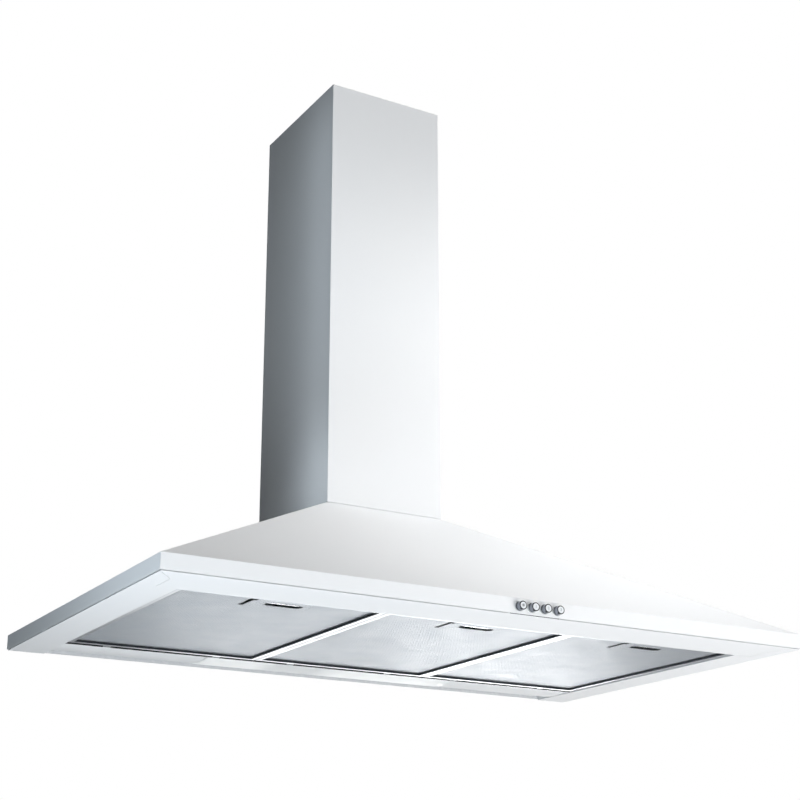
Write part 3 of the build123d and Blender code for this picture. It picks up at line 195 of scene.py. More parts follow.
def faceDown(piece):
    # all normals agree, and the lowest face looks down
    pickFaces(piece, everyFace)
    bpy.ops.mesh.normals_make_consistent(inside=False)
    closeEdit()
    lowest = min(piece.data.polygons, key=lambda face: face.center.z)
    if lowest.normal.z > 0:
        pickFaces(piece, everyFace)
        bpy.ops.mesh.flip_normals()
        closeEdit()


def applyAll(piece):
    focus(piece)
    for modifier in list(piece.modifiers):
        bpy.ops.object.modifier_apply(modifier=modifier.name)


def thicken(piece, wall):
    solid = piece.modifiers.new("wall", "SOLIDIFY")
    solid.thickness = wall
    solid.offset = -1
    solid.use_even_offset = True
    applyAll(piece)


def cut(piece, tool):
    opening = piece.modifiers.new("cut", "BOOLEAN")
    opening.object = tool
    opening.operation = "DIFFERENCE"
    opening.solver = "EXACT"
    applyAll(piece)
    bpy.data.objects.remove(tool)


def shade(piece, angle=smoothAngle):
    # smooth over the rounded edges, with the large faces kept even
    focus(piece)
    bpy.ops.object.shade_smooth_by_angle(angle=radians(angle))
    even = piece.modifiers.new("even", "WEIGHTED_NORMAL")
    even.keep_sharp = True
    applyAll(piece)


def soften(piece, width, segments=3, angle=smoothAngle):
    # rounds the edges that are sharper than the angle
    edge = piece.modifiers.new("edges", "BEVEL")
    edge.width = width
    edge.segments = segments
    edge.limit_method = "ANGLE"
    edge.angle_limit = radians(angle)
    applyAll(piece)
    shade(piece, angle)


def fit(piece, material, body, node=None):
    # last step for each piece: its finish, the node it stands for, and the body it rides on
    piece.data.materials.clear()
    piece.data.materials.append(material)
    if node:
        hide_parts(node)
    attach(piece, body)
    return piece


def socket(group, name, side, kind, value=None):
    item = group.interface.new_socket(name=name, in_out=side, socket_type="NodeSocket" + kind)
    if value is not None:
        item.default_value = value


def makeSurfaceGroup():
    # soft patches of a second colour, a roughness that drifts, and a fine grain for the bump
    group = bpy.data.node_groups.new("surfaceGrain", "ShaderNodeTree")
    socket(group, "Colour", "INPUT", "Color", (0.8, 0.8, 0.8, 1))
    socket(group, "Patch Colour", "INPUT", "Color", (0.7, 0.7, 0.7, 1))
    socket(group, "Patch Amount", "INPUT", "Float", 0.3)
    socket(group, "Patch Scale", "INPUT", "Float", 12.0)
    socket(group, "Roughness", "INPUT", "Float", 0.4)
    socket(group, "Roughness Drift", "INPUT", "Float", 0.1)
    socket(group, "Grain Scale", "INPUT", "Float", 600.0)
    socket(group, "Stretch", "INPUT", "Vector", (1, 1, 1))
    socket(group, "Colour", "OUTPUT", "Color")
    socket(group, "Roughness", "OUTPUT", "Float")
    socket(group, "Grain", "OUTPUT", "Float")
    add, link = group.nodes.new, group.links.new
    given, out = add("NodeGroupInput"), add("NodeGroupOutput")
    coords, stretch = add("ShaderNodeTexCoord"), add("ShaderNodeVectorMath")
    patches, grain = add("ShaderNodeTexNoise"), add("ShaderNodeTexNoise")
    stretch.operation = "MULTIPLY"
    link(coords.outputs["Object"], stretch.inputs[0])
    link(given.outputs["Stretch"], stretch.inputs[1])
    for noise, scale, detail in ((patches, "Patch Scale", 4), (grain, "Grain Scale", 2)):
        noise.inputs["Detail"].default_value = detail
        link(stretch.outputs[0], noise.inputs["Vector"])
        link(given.outputs[scale], noise.inputs["Scale"])
    spread, share, mix = add("ShaderNodeMapRange"), add("ShaderNodeMath"), add("ShaderNodeMix")
    spread.inputs["From Min"].default_value = 0.35
    spread.inputs["From Max"].default_value = 0.65
    share.operation = "MULTIPLY"
    mix.data_type = "RGBA"
    link(patches.outputs["Fac"], spread.inputs["Value"])
    link(spread.outputs["Result"], share.inputs[0])
    link(given.outputs["Patch Amount"], share.inputs[1])
    link(share.outputs[0], mix.inputs["Factor"])
    link(given.outputs["Colour"], mix.inputs["A"])
    link(given.outputs["Patch Colour"], mix.inputs["B"])
    link(mix.outputs["Result"], out.inputs["Colour"])
    drift = add("ShaderNodeMath")
    drift.operation = "MULTIPLY_ADD"
    link(spread.outputs["Result"], drift.inputs[0])
    link(given.outputs["Roughness Drift"], drift.inputs[1])
    link(given.outputs["Roughness"], drift.inputs[2])
    link(drift.outputs[0], out.inputs["Roughness"])
    link(grain.outputs["Fac"], out.inputs["Grain"])
    return group


def makeWeaveGroup():
    # rows of slanted strands, as on a pile of expanded metal sheets
    group = bpy.data.node_groups.new("strandWeave", "ShaderNodeTree")
    socket(group, "Pitch X", "INPUT", "Float", 6 * mm)
    socket(group, "Pitch Y", "INPUT", "Float", 3 * mm)
    socket(group, "Strand", "INPUT", "Float", 0.5)
    socket(group, "Mask", "OUTPUT", "Float")
    add, link = group.nodes.new, group.links.new
    given, out = add("NodeGroupInput"), add("NodeGroupOutput")
    coords, split = add("ShaderNodeTexCoord"), add("ShaderNodeSeparateXYZ")
    link(coords.outputs["Object"], split.inputs[0])
    waves = []
    for axis, pitch in (("X", "Pitch X"), ("Y", "Pitch Y")):
        share, fold = add("ShaderNodeMath"), add("ShaderNodeMath")
        share.operation = "DIVIDE"
        fold.operation = "PINGPONG"
        fold.inputs[1].default_value = 0.5
        link(split.outputs[axis], share.inputs[0])
        link(given.outputs[pitch], share.inputs[1])
        link(share.outputs[0], fold.inputs[0])
        waves.append(fold)
    total, rest, away, edge = (add("ShaderNodeMath") for _ in range(4))
    total.operation = "ADD"
    rest.operation = "SUBTRACT"
    rest.inputs[1].default_value = 0.5
    away.operation = "ABSOLUTE"
    edge.operation = "LESS_THAN"
    half = add("ShaderNodeMath")
    half.operation = "MULTIPLY"
    half.inputs[1].default_value = 0.5
    link(waves[0].outputs[0], total.inputs[0])
    link(waves[1].outputs[0], total.inputs[1])
    link(total.outputs[0], rest.inputs[0])
    link(rest.outputs[0], away.inputs[0])
    link(given.outputs["Strand"], half.inputs[0])
    link(away.outputs[0], edge.inputs[0])
    link(half.outputs[0], edge.inputs[1])
    link(edge.outputs[0], out.inputs["Mask"])
    return group


surfaceGrain = makeSurfaceGroup()
strandWeave = makeWeaveGroup()


def finish(name, look):
    # one material: the shader's own sockets for what is even, the grain group for what varies
    material = bpy.data.materials.new(name)
    material.use_nodes = True
    tree = material.node_tree
    shader = tree.nodes["Principled BSDF"]
    shader.inputs["Metallic"].default_value = look.get("metallic", 0.0)
    shader.inputs["Coat Weight"].default_value = look.get("coat", 0.0)
    shader.inputs["Coat Roughness"].default_value = 0.05
    shader.inputs["Specular IOR Level"].default_value = look.get("specular", 0.5)
    shader.inputs["Transmission Weight"].default_value = look.get("transmission", 0.0)
    grain = tree.nodes.new("ShaderNodeGroup")
    grain.node_tree = surfaceGrain
    grain.location = (-520, 200)
    grain.inputs["Colour"].default_value = (*look["colour"], 1)
    grain.inputs["Patch Colour"].default_value = (*look["patch"], 1)
    grain.inputs["Patch Amount"].default_value = look.get("patchAmount", 0.4)
    grain.inputs["Patch Scale"].default_value = look.get("patchScale", 14)
    grain.inputs["Roughness"].default_value = look["roughness"]
    grain.inputs["Roughness Drift"].default_value = look.get("drift", 0.06)
    grain.inputs["Grain Scale"].default_value = look.get("grainScale", 700)
    grain.inputs["Stretch"].default_value = look.get("stretch", (1, 1, 1))
    bump = tree.nodes.new("ShaderNodeBump")
    bump.location = (-260, -200)
    bump.inputs["Strength"].default_value = look.get("bump", 0.1)
    bump.inputs["Distance"].default_value = look.get("depth", 0.05) * mm
    tree.links.new(grain.outputs["Colour"], shader.inputs["Base Color"])
    tree.links.new(grain.outputs["Roughness"], shader.inputs["Roughness"])
    tree.links.new(grain.outputs["Grain"], bump.inputs["Height"])
    tree.links.new(bump.outputs["Normal"], shader.inputs["Normal"])
    return material


whiteEnamel = finish("whiteEnamel", {
    "colour": (0.86, 0.87, 0.88), "patch": (0.84, 0.855, 0.87), "patchScale": 5,
    "roughness": 0.72, "drift": 0.03, "specular": 0.25, "grainScale": 900, "bump": 0.05,
})
galvanised = finish("galvanisedSteel", {
    "colour": (0.74, 0.75, 0.76), "patch": (0.62, 0.64, 0.66), "patchAmount": 0.4, "patchScale": 160,
    "metallic": 0.4, "roughness": 0.5, "drift": 0.08, "grainScale": 500, "bump": 0.06,
})
brightSteel = finish("brightSteel", {
    "colour": (0.72, 0.72, 0.74), "patch": (0.62, 0.62, 0.64), "metallic": 1.0,
    "roughness": 0.22, "drift": 0.08, "stretch": (0.05, 1, 1), "grainScale": 2500, "bump": 0.12,
})
zinc = finish("zincScrew", {
    "colour": (0.66, 0.67, 0.68), "patch": (0.55, 0.56, 0.58), "patchScale": 200, "metallic": 0.95,
    "roughness": 0.33, "drift": 0.1, "bump": 0.08,
})
springSteel = finish("springSteel", {
    "colour": (0.36, 0.37, 0.39), "patch": (0.28, 0.28, 0.30), "metallic": 1.0,
    "roughness": 0.3, "stretch": (1, 0.1, 1), "grainScale": 2000, "bump": 0.12,
})
latchSteel = finish("latchSteel", {
    "colour": (0.84, 0.86, 0.88), "patch": (0.76, 0.78, 0.81), "patchScale": 60, "metallic": 0.85,
    "roughness": 0.2, "drift": 0.05, "stretch": (0.08, 1, 1), "grainScale": 1800, "bump": 0.1,
})
frameAluminium = finish("filterFrameAluminium", {
    "colour": (0.70, 0.72, 0.75), "patch": (0.66, 0.68, 0.71), "patchScale": 40, "metallic": 0.6,
    "roughness": 0.34, "drift": 0.06, "grainScale": 1500, "bump": 0.05,
})
meshAluminium = finish("filterMeshAluminium", {
    "colour": (0.84, 0.87, 0.90), "patch": (0.78, 0.82, 0.86), "patchAmount": 0.5, "patchScale": 30,
    "metallic": 0.65, "roughness": 0.4, "drift": 0.06, "grainScale": 1400, "bump": 0.05,
})
whitePlastic = finish("whitePlastic", {
    "colour": (0.82, 0.82, 0.80), "patch": (0.76, 0.76, 0.73), "roughness": 0.5, "bump": 0.15,
})
reflectorWhite = finish("reflectorWhite", {
    "colour": (0.88, 0.88, 0.87), "patch": (0.82, 0.82, 0.80), "roughness": 0.35, "coat": 0.2, "bump": 0.08,
})
opalGlass = finish("opalGlass", {
    "colour": (0.93, 0.92, 0.89), "patch": (0.88, 0.87, 0.84), "roughness": 0.12, "drift": 0.04,
    "transmission": 0.35, "bump": 0.03,
})
greyPlastic = finish("greyPlastic", {
    "colour": (0.42, 0.45, 0.49), "patch": (0.37, 0.40, 0.44), "roughness": 0.38, "bump": 0.12,
})
buttonGrey = finish("buttonGrey", {
    "colour": (0.30, 0.32, 0.36), "patch": (0.26, 0.28, 0.32), "metallic": 1.0, "roughness": 0.16,
    "drift": 0.04, "bump": 0.05,
})
buttonWhite = finish("buttonWhite", {
    "colour": (0.80, 0.82, 0.84), "patch": (0.76, 0.78, 0.80), "roughness": 0.3, "coat": 0.2, "bump": 0.05,
})
bezelGrey = finish("bezelGrey", {
    "colour": (0.72, 0.74, 0.76), "patch": (0.68, 0.70, 0.73), "roughness": 0.3, "coat": 0.2, "bump": 0.06,
})
signGrey = finish("signGrey", {
    "colour": (0.30, 0.33, 0.37), "patch": (0.26, 0.29, 0.33), "roughness": 0.45, "bump": 0.05,
})
blackPlastic = finish("blackPlastic", {
    "colour": (0.028, 0.029, 0.031), "patch": (0.045, 0.046, 0.05), "patchScale": 30,
    "roughness": 0.46, "drift": 0.1, "grainScale": 1600, "bump": 0.25, "depth": 0.1,
})
motorEnamel = finish("motorEnamel", {
    "colour": (0.05, 0.055, 0.065), "patch": (0.07, 0.075, 0.085), "metallic": 0.2, "roughness": 0.34,
    "coat": 0.4, "bump": 0.1,
})
iconGrey = finish("iconGrey", {
    "colour": (0.07, 0.075, 0.085), "patch": (0.09, 0.095, 0.1), "roughness": 0.5, "bump": 0.05,
})


# the strands of the further layers, and the painted shade of the holes between them
padWeave = {"pitchX": 5 * mm, "pitchY": 2.6 * mm, "strand": 0.34, "gapShade": (0.24, 0.26, 0.29)}


def makePadFinish(look):
    # the layers of mesh behind the first sheet, seen through its openings, with painted shade in the holes
    # between their strands
    material = finish("filterPad", {
        "colour": (0.80, 0.83, 0.86), "patch": (0.70, 0.73, 0.77), "patchAmount": 0.5, "patchScale": 60,
        "metallic": 0.6, "roughness": 0.44, "grainScale": 900, "bump": 0.2, "depth": 0.2,
    })
    tree = material.node_tree
    shader = tree.nodes["Principled BSDF"]
    grain = next(node for node in tree.nodes if node.type == "GROUP")
    weave = tree.nodes.new("ShaderNodeGroup")
    weave.node_tree = strandWeave
    weave.inputs["Pitch X"].default_value = look["pitchX"]
    weave.inputs["Pitch Y"].default_value = look["pitchY"]
    weave.inputs["Strand"].default_value = look["strand"]
    layers = tree.nodes.new("ShaderNodeMix")
    layers.data_type = "RGBA"
    # painted shade: the dark colour of the holes between the strands
    layers.inputs["A"].default_value = (*look["gapShade"], 1)
    tree.links.new(weave.outputs["Mask"], layers.inputs["Factor"])
    tree.links.new(grain.outputs["Colour"], layers.inputs["B"])
    tree.links.new(layers.outputs["Result"], shader.inputs["Base Color"])
    return material


filterPad = makePadFinish(padWeave)
# a dark mirror-like metal that paints the shade on recess walls and on the rear rail
wallShadeMetal = finish("wallShadeMetal", {
    "colour": (0.15, 0.16, 0.18), "patch": (0.12, 0.13, 0.15), "metallic": 1.0, "roughness": 0.16,
    "drift": 0.03, "bump": 0.03,
})

lampGlow = {
    "colour": (0.74, 0.76, 0.77),
    "glow": (1.0, 1.0, 0.97),
    "strength": 0.2,
    "spots": ((-0.150, 0.070), (0.090, 0.125)),  # middle and reach of each lamp's glow along the cover
    "core": 0.45,  # share of the reach that is fully lit
}


def makeDiffuser(look):
    material = finish("lampDiffuser", {
        "colour": look["colour"], "patch": (0.84, 0.86, 0.85), "roughness": 0.55, "drift": 0.03,
        "specular": 0.3, "bump": 0.04,
    })
    tree = material.node_tree
    add, link = tree.nodes.new, tree.links.new
    shader = tree.nodes["Principled BSDF"]
    coords, split = add("ShaderNodeTexCoord"), add("ShaderNodeSeparateXYZ")
    link(coords.outputs["Object"], split.inputs[0])
    spots = []
    for middle, reach in look["spots"]:
        away, far, fade = add("ShaderNodeMath"), add("ShaderNodeMath"), add("ShaderNodeMapRange")
        away.operation = "SUBTRACT"
        away.inputs[1].default_value = middle
        far.operation = "ABSOLUTE"
        fade.interpolation_type = "SMOOTHSTEP"
        fade.inputs["From Min"].default_value = reach
        fade.inputs["From Max"].default_value = reach * look["core"]
        link(split.outputs["X"], away.inputs[0])
        link(away.outputs[0], far.inputs[0])
        link(far.outputs[0], fade.inputs["Value"])
        spots.append(fade)
    both, glow = add("ShaderNodeMath"), add("ShaderNodeMix")
    both.operation = "MAXIMUM"
    glow.data_type = "RGBA"
    glow.inputs["A"].default_value = (0, 0, 0, 1)
    glow.inputs["B"].default_value = (*look["glow"], 1)
    link(spots[0].outputs["Result"], both.inputs[0])
    link(spots[1].outputs["Result"], both.inputs[1])
    link(both.outputs[0], glow.inputs["Factor"])
    link(glow.outputs["Result"], shader.inputs["Emission Color"])
    shader.inputs["Emission Strength"].default_value = look["strength"]
    return material


lampDiffuser = makeDiffuser(lampGlow)

slotFinish = {
    "white_enamel": whiteEnamel, "galvanised_steel": galvanised, "bright_steel": brightSteel,
    "zinc_screw": zinc, "spring_steel": springSteel, "latch_steel": latchSteel,
    "filter_frame_aluminium": frameAluminium, "filter_mesh_aluminium": meshAluminium,
    "lamp_diffuser": lampDiffuser, "reflector_white": reflectorWhite, "opal_glass": opalGlass,
    "white_plastic": whitePlastic, "grey_plastic": greyPlastic, "button_grey": buttonGrey,
    "black_plastic": blackPlastic, "motor_enamel": motorEnamel,
}
for name, node in nodes.items():
    node.data.materials.clear()
    node.data.materials.append(slotFinish[slotOf[name]])
print("finishes ready")

canopyLow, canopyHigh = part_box("canopy_shell")
chimneyLow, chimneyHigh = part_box("chimney_lower")
buttonBoxes = [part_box(f"button_{number}") for number in range(1, 5)]
buttonMiddles = [(low + high) / 2 for low, high in buttonBoxes]

canopyLook = {
    "rim": 20 * mm, "collar": 12 * mm, "collarGap": 1.5 * mm, "sheet": 1 * mm, "edge": 0.6 * mm,
    "joint": 1.3 * mm,  # the rim stands clear of the underside by this much
    "buttonHole": 6.3 * mm, "drill": 8 * mm,
}


def makeCanopy(look):
    rimTop = canopyLow.z + look["rim"]
    slopeTop = canopyHigh.z - look["collar"]
    width = canopyHigh.x - canopyLow.x
    depth = -canopyLow.y
    collarWidth = chimneyHigh.x - chimneyLow.x - 2 * look["collarGap"]
    collarDepth = -chimneyLow.y - look["collarGap"]
    shell = block("canopy", canopyLow + Vector((0, 0, look["joint"])), (canopyHigh.x, 0, rimTop))
    pickFaces(shell, lambda middle, normal: normal.z > facing)
    extrude(z=slopeTop - rimTop)
    bpy.ops.transform.resize(
        value=(collarWidth / width, collarDepth / depth, 1), center_override=(0, 0, slopeTop)
    )
    extrude(z=look["collar"])
    pickFaces(shell, lambda middle, normal: abs(normal.z) > flat or normal.y > facing)
    bpy.ops.mesh.delete(type="FACE")
    closeEdit()
    thicken(shell, look["sheet"])
    for middle in buttonMiddles:
        place = (middle.x, canopyLow.y, middle.z)
        cut(shell, rod("hole", place, look["buttonHole"], look["drill"], "Y"))
    soften(shell, look["edge"])
    return fit(shell, whiteEnamel, "hood", "canopy_shell")


makeCanopy(canopyLook)
print("canopy done")

chimneyLook = {
    "sheet": 1 * mm, "return": 15 * mm, "edge": 1.1 * mm,
    "notch": 12.3 * mm,  # the lower cover's returns stop this far up, above the canopy's collar
}


def makeCover(name, node, body, look, notch=0.0):
    low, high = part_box(node)
    cover = block(name, low, high)
    pickFaces(cover, lambda middle, normal: abs(normal.z) > facing or normal.y > facing)
    bpy.ops.mesh.delete(type="FACE")
    for side in (-1, 1):
        pickEdges(cover, lambda a, b: min(a.y, b.y) > high.y - near and min(a.x * side, b.x * side) > 0)
        extrude(x=-side * look["return"])
    closeEdit()
    thicken(cover, look["sheet"])
    if notch:
        cut(cover, block("notch", (low.x + look["sheet"], -2 * look["sheet"], low.z - over),
                         (high.x - look["sheet"], over, low.z + notch)))
    soften(cover, look["edge"])
    return fit(cover, whiteEnamel, body, node)


makeCover("chimneyLower", "chimney_lower", "hood", chimneyLook, chimneyLook["notch"])
makeCover("chimneyUpper", "chimney_upper", "chimney_upper", chimneyLook)
print("chimney covers done")

undersideLook = {
    "sheet": 0.7 * mm, "frontFlange": 74 * mm, "sideFlange": 50 * mm, "edge": 0.3 * mm,
    "innerUpstand": 13 * mm, "outerUpstand": 12 * mm, "setBack": 4 * mm, "sunk": 0.4, "upstandEdge": 0.2 * mm,
    "buttonGap": {"side": 10 * mm, "foot": 1.2 * mm, "depth": 8 * mm, "height": 30 * mm},
    "boltGap": {"side": 9 * mm, "depth": 3 * mm, "below": 2.1 * mm, "above": 0.6 * mm},
    "seam": 0.8 * mm,
    "seams": (
        # from, to: where the side flanges meet the front one
        ((-0.447, -0.5265), (-0.426, -0.500)), ((-0.424, -0.496), (-0.424, -0.457)),
        ((0.424, -0.5265), (0.424, -0.458)), ((0.424, -0.458), (0.400, -0.458)),
    ),
}
openingX = canopyHigh.x - undersideLook["sideFlange"]
openingY = canopyLow.y + undersideLook["frontFlange"]


def makeFlange(low, high, look):
    # the flat sheet with its opening, folded up at the opening's front and sides
    flange = flatSheet("undersideFrame", low, high)
    upstandX, upstandY = high.x - look["setBack"], low.y + look["setBack"]
    planes = []
    for x, y in ((openingX, openingY), (upstandX, upstandY)):
        planes += [((-x, 0, 0), (1, 0, 0)), ((x, 0, 0), (1, 0, 0)), ((0, y, 0), (0, 1, 0))]
    for place, direction in planes:
        pickFaces(flange, everyFace)
        bpy.ops.mesh.bisect(plane_co=place, plane_no=direction)
    pickFaces(flange, lambda middle, normal: abs(middle.x) < openingX and middle.y > openingY)
    bpy.ops.mesh.delete(type="FACE")

    def onOpening(a, b):
        atSide = abs(abs(a.x) - openingX) < near and abs(a.x - b.x) < near
        atFront = max(abs(a.y - openingY), abs(b.y - openingY)) < near
        alongFront = max(abs(a.x), abs(b.x)) < openingX + near
        return (atSide and min(a.y, b.y) > openingY - near) or (atFront and alongFront)

    pickEdges(flange, onOpening)
    extrude(z=look["innerUpstand"])
    faceDown(flange)
    thicken(flange, look["sheet"])
    return flange


def makeUpstands(low, high, look):
    # the outer walls, with room for the buttons in the front one
    upstandX, upstandY = high.x - look["setBack"], low.y + look["setBack"]
    foot, top = low.z + look["sunk"] * look["sheet"], low.z + look["outerUpstand"]
    upstands = [block("upstand", (-upstandX, upstandY, foot), (upstandX, upstandY + look["sheet"], top))]
    for side in (-1, 1):
        inner, outer = sorted((side * upstandX, side * (upstandX - look["sheet"])))
        upstands.append(block("upstand", (inner, upstandY, foot), (outer, high.y, top)))
    room = look["buttonGap"]
    middles = [middle.x for middle in buttonMiddles]
    cut(upstands[0], block(
        "buttonGap", (min(middles) - room["side"], low.y - over, low.z + room["foot"]),
        (max(middles) + room["side"], low.y + room["depth"], low.z + room["height"]),
    ))
    return upstands


def makeUnderside(look):
    low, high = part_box("underside_frame")
    flange = makeFlange(low, high, look)
    upstands = makeUpstands(low, high, look)
    room = look["boltGap"]
    for number in range(1, 4):
        boltLow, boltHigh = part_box(f"filter_{number}_latch")
        middle = (boltLow.x + boltHigh.x) / 2
        cut(flange, block(
            "boltGap", (middle - room["side"], openingY - room["depth"], boltHigh.z - room["below"]),
            (middle + room["side"], openingY + room["depth"], boltHigh.z + room["above"]),
        ))
    soften(flange, look["edge"], 2)
    for start, end in look["seams"]:
        start, end = Vector(start), Vector(end)
        turn = (end - start).angle_signed(Vector((1, 0)))
        middle = (start + end) / 2
        bpy.ops.object.select_all(action="DESELECT")
        bpy.ops.mesh.primitive_cube_add(size=1, location=(*middle, low.z), rotation=(0, 0, turn))
        seam = bpy.context.object
        seam.scale = ((end - start).length, look["seam"], 4 * look["sheet"])
        settle(seam)
        cut(flange, seam)
    for upstand in upstands:
        soften(upstand, look["upstandEdge"], 2)
    join(flange, upstands)
    shade(flange)
    return fit(flange, whiteEnamel, "hood", "underside_frame")


makeUnderside(undersideLook)
print("underside done")

cassetteLook = {
    "border": 7 * mm, "wall": 0.8 * mm, "clear": 1.3 * mm, "lip": 2.7 * mm, "height": 9 * mm,
    "edge": 0.35 * mm, "tongueWidth": 10 * mm, "tongueSheet": 1.2 * mm, "tongueInset": 55 * mm,
    "tongueSeat": 0.5 * mm, "tongueEdge": 0.2 * mm, "roll": 2.2 * mm, "rollLength": 22 * mm,
    "rollEdge": 0.4 * mm, "rollSides": 24,
    "boltHole": {"side": 8.3 * mm, "depth": 2 * mm, "below": 1.8 * mm, "above": 0.3 * mm},
}


def makeCassette(number, look):
    meshLow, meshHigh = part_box(f"filter_{number}_mesh")
    nodeLow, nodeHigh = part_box(f"filter_{number}_frame")
    low = meshLow - Vector((look["clear"], look["clear"], 0))
    high = meshHigh + Vector((look["clear"], look["clear"], 0))
    low.z = nodeHigh.z - look["height"]
    middle = (low + high) / 2
    size = high - low
    ring = flatSheet(f"filterFrame{number}", low, high)
    pickFaces(ring, everyFace)
    bpy.ops.mesh.inset(thickness=look["border"], depth=0)
    pickFaces(ring, lambda spot, normal: (spot - middle).xy.length < near)
    bpy.ops.mesh.delete(type="FACE")

    def outside(a, b):
        close = near / 10
        atX = abs(abs(a.x - middle.x) - size.x / 2) < close and abs(a.x - b.x) < close
        atY = abs(abs(a.y - middle.y) - size.y / 2) < close and abs(a.y - b.y) < close
        return atX or atY

    def inside(a, b):
        return max(abs(a.x - middle.x), abs(b.x - middle.x)) < size.x / 2 - near

    pickEdges(ring, inside)
    extrude(z=look["lip"])
    pickEdges(ring, lambda a, b: outside(a, b) and a.z + b.z < 2 * low.z + near)
    extrude(z=look["height"])
    extrude()
    bpy.ops.transform.resize(
        value=((size.x - 2 * look["border"]) / size.x, (size.y - 2 * look["border"]) / size.y, 1),
        center_override=(middle.x, middle.y, low.z),
    )
    faceDown(ring)
    thicken(ring, look["wall"])
    room = look["boltHole"]
    boltLow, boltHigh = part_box(f"filter_{number}_latch")
    boltX = (boltLow.x + boltHigh.x) / 2
    cut(ring, block(
        "boltHole", (boltX - room["side"], low.y - room["depth"], boltHigh.z - room["below"]),
        (boltX + room["side"], low.y + room["depth"], boltHigh.z + room["above"]),
    ))
    soften(ring, look["edge"], 3)
    parts = []
    rollY = nodeHigh.y - look["roll"]
    rollZ = nodeLow.z + look["roll"]
    halfWidth, halfSheet = look["tongueWidth"] / 2, look["tongueSheet"] / 2
    for side in (-1, 1):
        x = middle.x + side * (size.x / 2 - look["tongueInset"])
        tongue = block("tongue", (x - halfWidth, high.y - look["tongueSeat"], rollZ - halfSheet),
                       (x + halfWidth, rollY, rollZ + halfSheet))
        roll = rod("roll", (x, rollY, rollZ), look["roll"], look["rollLength"], "X", look["rollSides"])
        soften(roll, look["rollEdge"], 2)
        soften(tongue, look["tongueEdge"], 1)
        parts += [tongue, roll]
    join(ring, parts)
    bpy.ops.object.shade_smooth_by_angle(angle=radians(smoothAngle))
    fit(ring, frameAluminium, f"filter_{number}", f"filter_{number}_frame")
    # painted shade on the frame's inner walls, inside the border, by the dark wall metal
    reachX, reachY = size.x / 2 - look["border"] + over, size.y / 2 - look["border"] + over
    paintWallShade(ring, lambda spot: abs(spot.x - middle.x) < reachX and abs(spot.y - middle.y) < reachY)
    return ring


def paintWallShade(piece, wanted=lambda spot: True):
    # painted shade: the walls of recesses take a dark metal finish that stands in for the shade inside them
    piece.data.materials.append(wallShadeMetal)
    for face in piece.data.polygons:
        face.material_index = 1 if abs(face.normal.z) < steep and wanted(face.center) else 0


meshLook = {
    "pitchX": 7.0 * mm, "pitchY": 3.6 * mm, "strand": 0.8 * mm, "thick": 0.5 * mm, "rise": -0.1 * mm,
    "overlap": 1 * mm, "short": 2.8 * mm,
}


def makeStrandSheet(look):
    # one sheet of expanded metal for the first cassette: four slanted strands, repeated both ways
    meshLow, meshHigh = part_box("filter_1_mesh")
    border = cassetteLook["border"] - cassetteLook["clear"]
    front, rear = border - look["overlap"], border + look["short"]
    low = meshLow + Vector((front, front, 0))
    high = meshHigh - Vector((rear, rear, 0))
    columns = int((high.x - low.x) / look["pitchX"])
    rows = int((high.y - low.y) / look["pitchY"])
    pitchX = (high.x - low.x) / columns
    pitchY = (high.y - low.y) / rows
    level = meshLow.z + look["rise"]
    length = (pitchX**2 + pitchY**2) ** 0.5 / 2
    lean = abs(Vector((pitchX, pitchY)).angle_signed(Vector((1, 0))))
    strands = []
    for flipX, flipY in ((1, 1), (-1, 1), (1, -1), (-1, -1)):
        place = (low.x + pitchX / 2 + flipX * pitchX / 4, low.y + pitchY / 2 + flipY * pitchY / 4, level)
        turn = -flipX * flipY * lean
        bpy.ops.object.select_all(action="DESELECT")
        bpy.ops.mesh.primitive_cube_add(size=1, location=place, rotation=(0, 0, turn))
        strand = bpy.context.object
        strand.scale = (length, look["strand"], look["thick"])
        settle(strand)
        along = Vector((cos(turn), sin(turn), 0))
        pickFaces(strand, lambda spot, normal: abs(normal.dot(along)) > facing)
        bpy.ops.mesh.delete(type="FACE")
        closeEdit()
        strands.append(strand)
    mesh = named(join(strands[0], strands[1:]), "filterMesh1")
    for step, count in (((pitchX, 0, 0), columns), ((0, pitchY, 0), rows)):
        array = mesh.modifiers.new("array", "ARRAY")
        array.use_relative_offset = False
        array.use_constant_offset = True
        array.constant_offset_displace = step
        array.count = count
    applyAll(mesh)
    return mesh


slotLook = {"length": 48 * mm, "width": 14 * mm, "offset": 16 * mm, "inset": 40 * mm, "clear": 1.2 * mm}
slitLook = {
    "offset": -31 * mm, "inset": 40 * mm, "length": 36 * mm, "width": 6 * mm, "leg": 6 * mm,
    "clear": 1.6 * mm, "edge": 0.08 * mm,
}


def insideSlot(spot, middleX, frontY):
    reach = (slotLook["length"] - slotLook["width"]) / 2
    awayX = max(abs(spot.x - middleX - slotLook["offset"]) - reach, 0)
    awayY = spot.y - frontY - slotLook["inset"]
    return (awayX**2 + awayY**2) ** 0.5 < slotLook["width"] / 2 + slotLook["clear"]


def insideSlit(spot, middleX, frontY):
    # a bar with a short leg to the right at its front end
    x = spot.x - middleX - slitLook["offset"]
    y = spot.y - frontY - slitLook["inset"]
    half, width, grow = slitLook["length"] / 2, slitLook["width"], slitLook["clear"]
    onBar = abs(x) < width / 2 + grow and abs(y) < half + grow
    onLeg = -grow < x < slitLook["leg"] + grow and abs(y + half) < width + grow
    return onBar or onLeg


def makeMesh(number, mesh, middleX, frontY):
    # clears the strands from the finger slot and the slit
    pickFaces(mesh, lambda spot, normal: insideSlot(spot, middleX, frontY)
              or insideSlit(spot, middleX, frontY))
    bpy.ops.mesh.delete(type="FACE")
    closeEdit()
    return fit(mesh, meshAluminium, f"filter_{number}", f"filter_{number}_mesh")


padLook = {
    "inset": 1 * mm, "above": 0.2 * mm, "rise": 2 * mm, "edge": 0.4 * mm,
    "latchRoom": {"left": 36 * mm, "right": 52 * mm, "depth": 64 * mm, "height": 9 * mm},
}


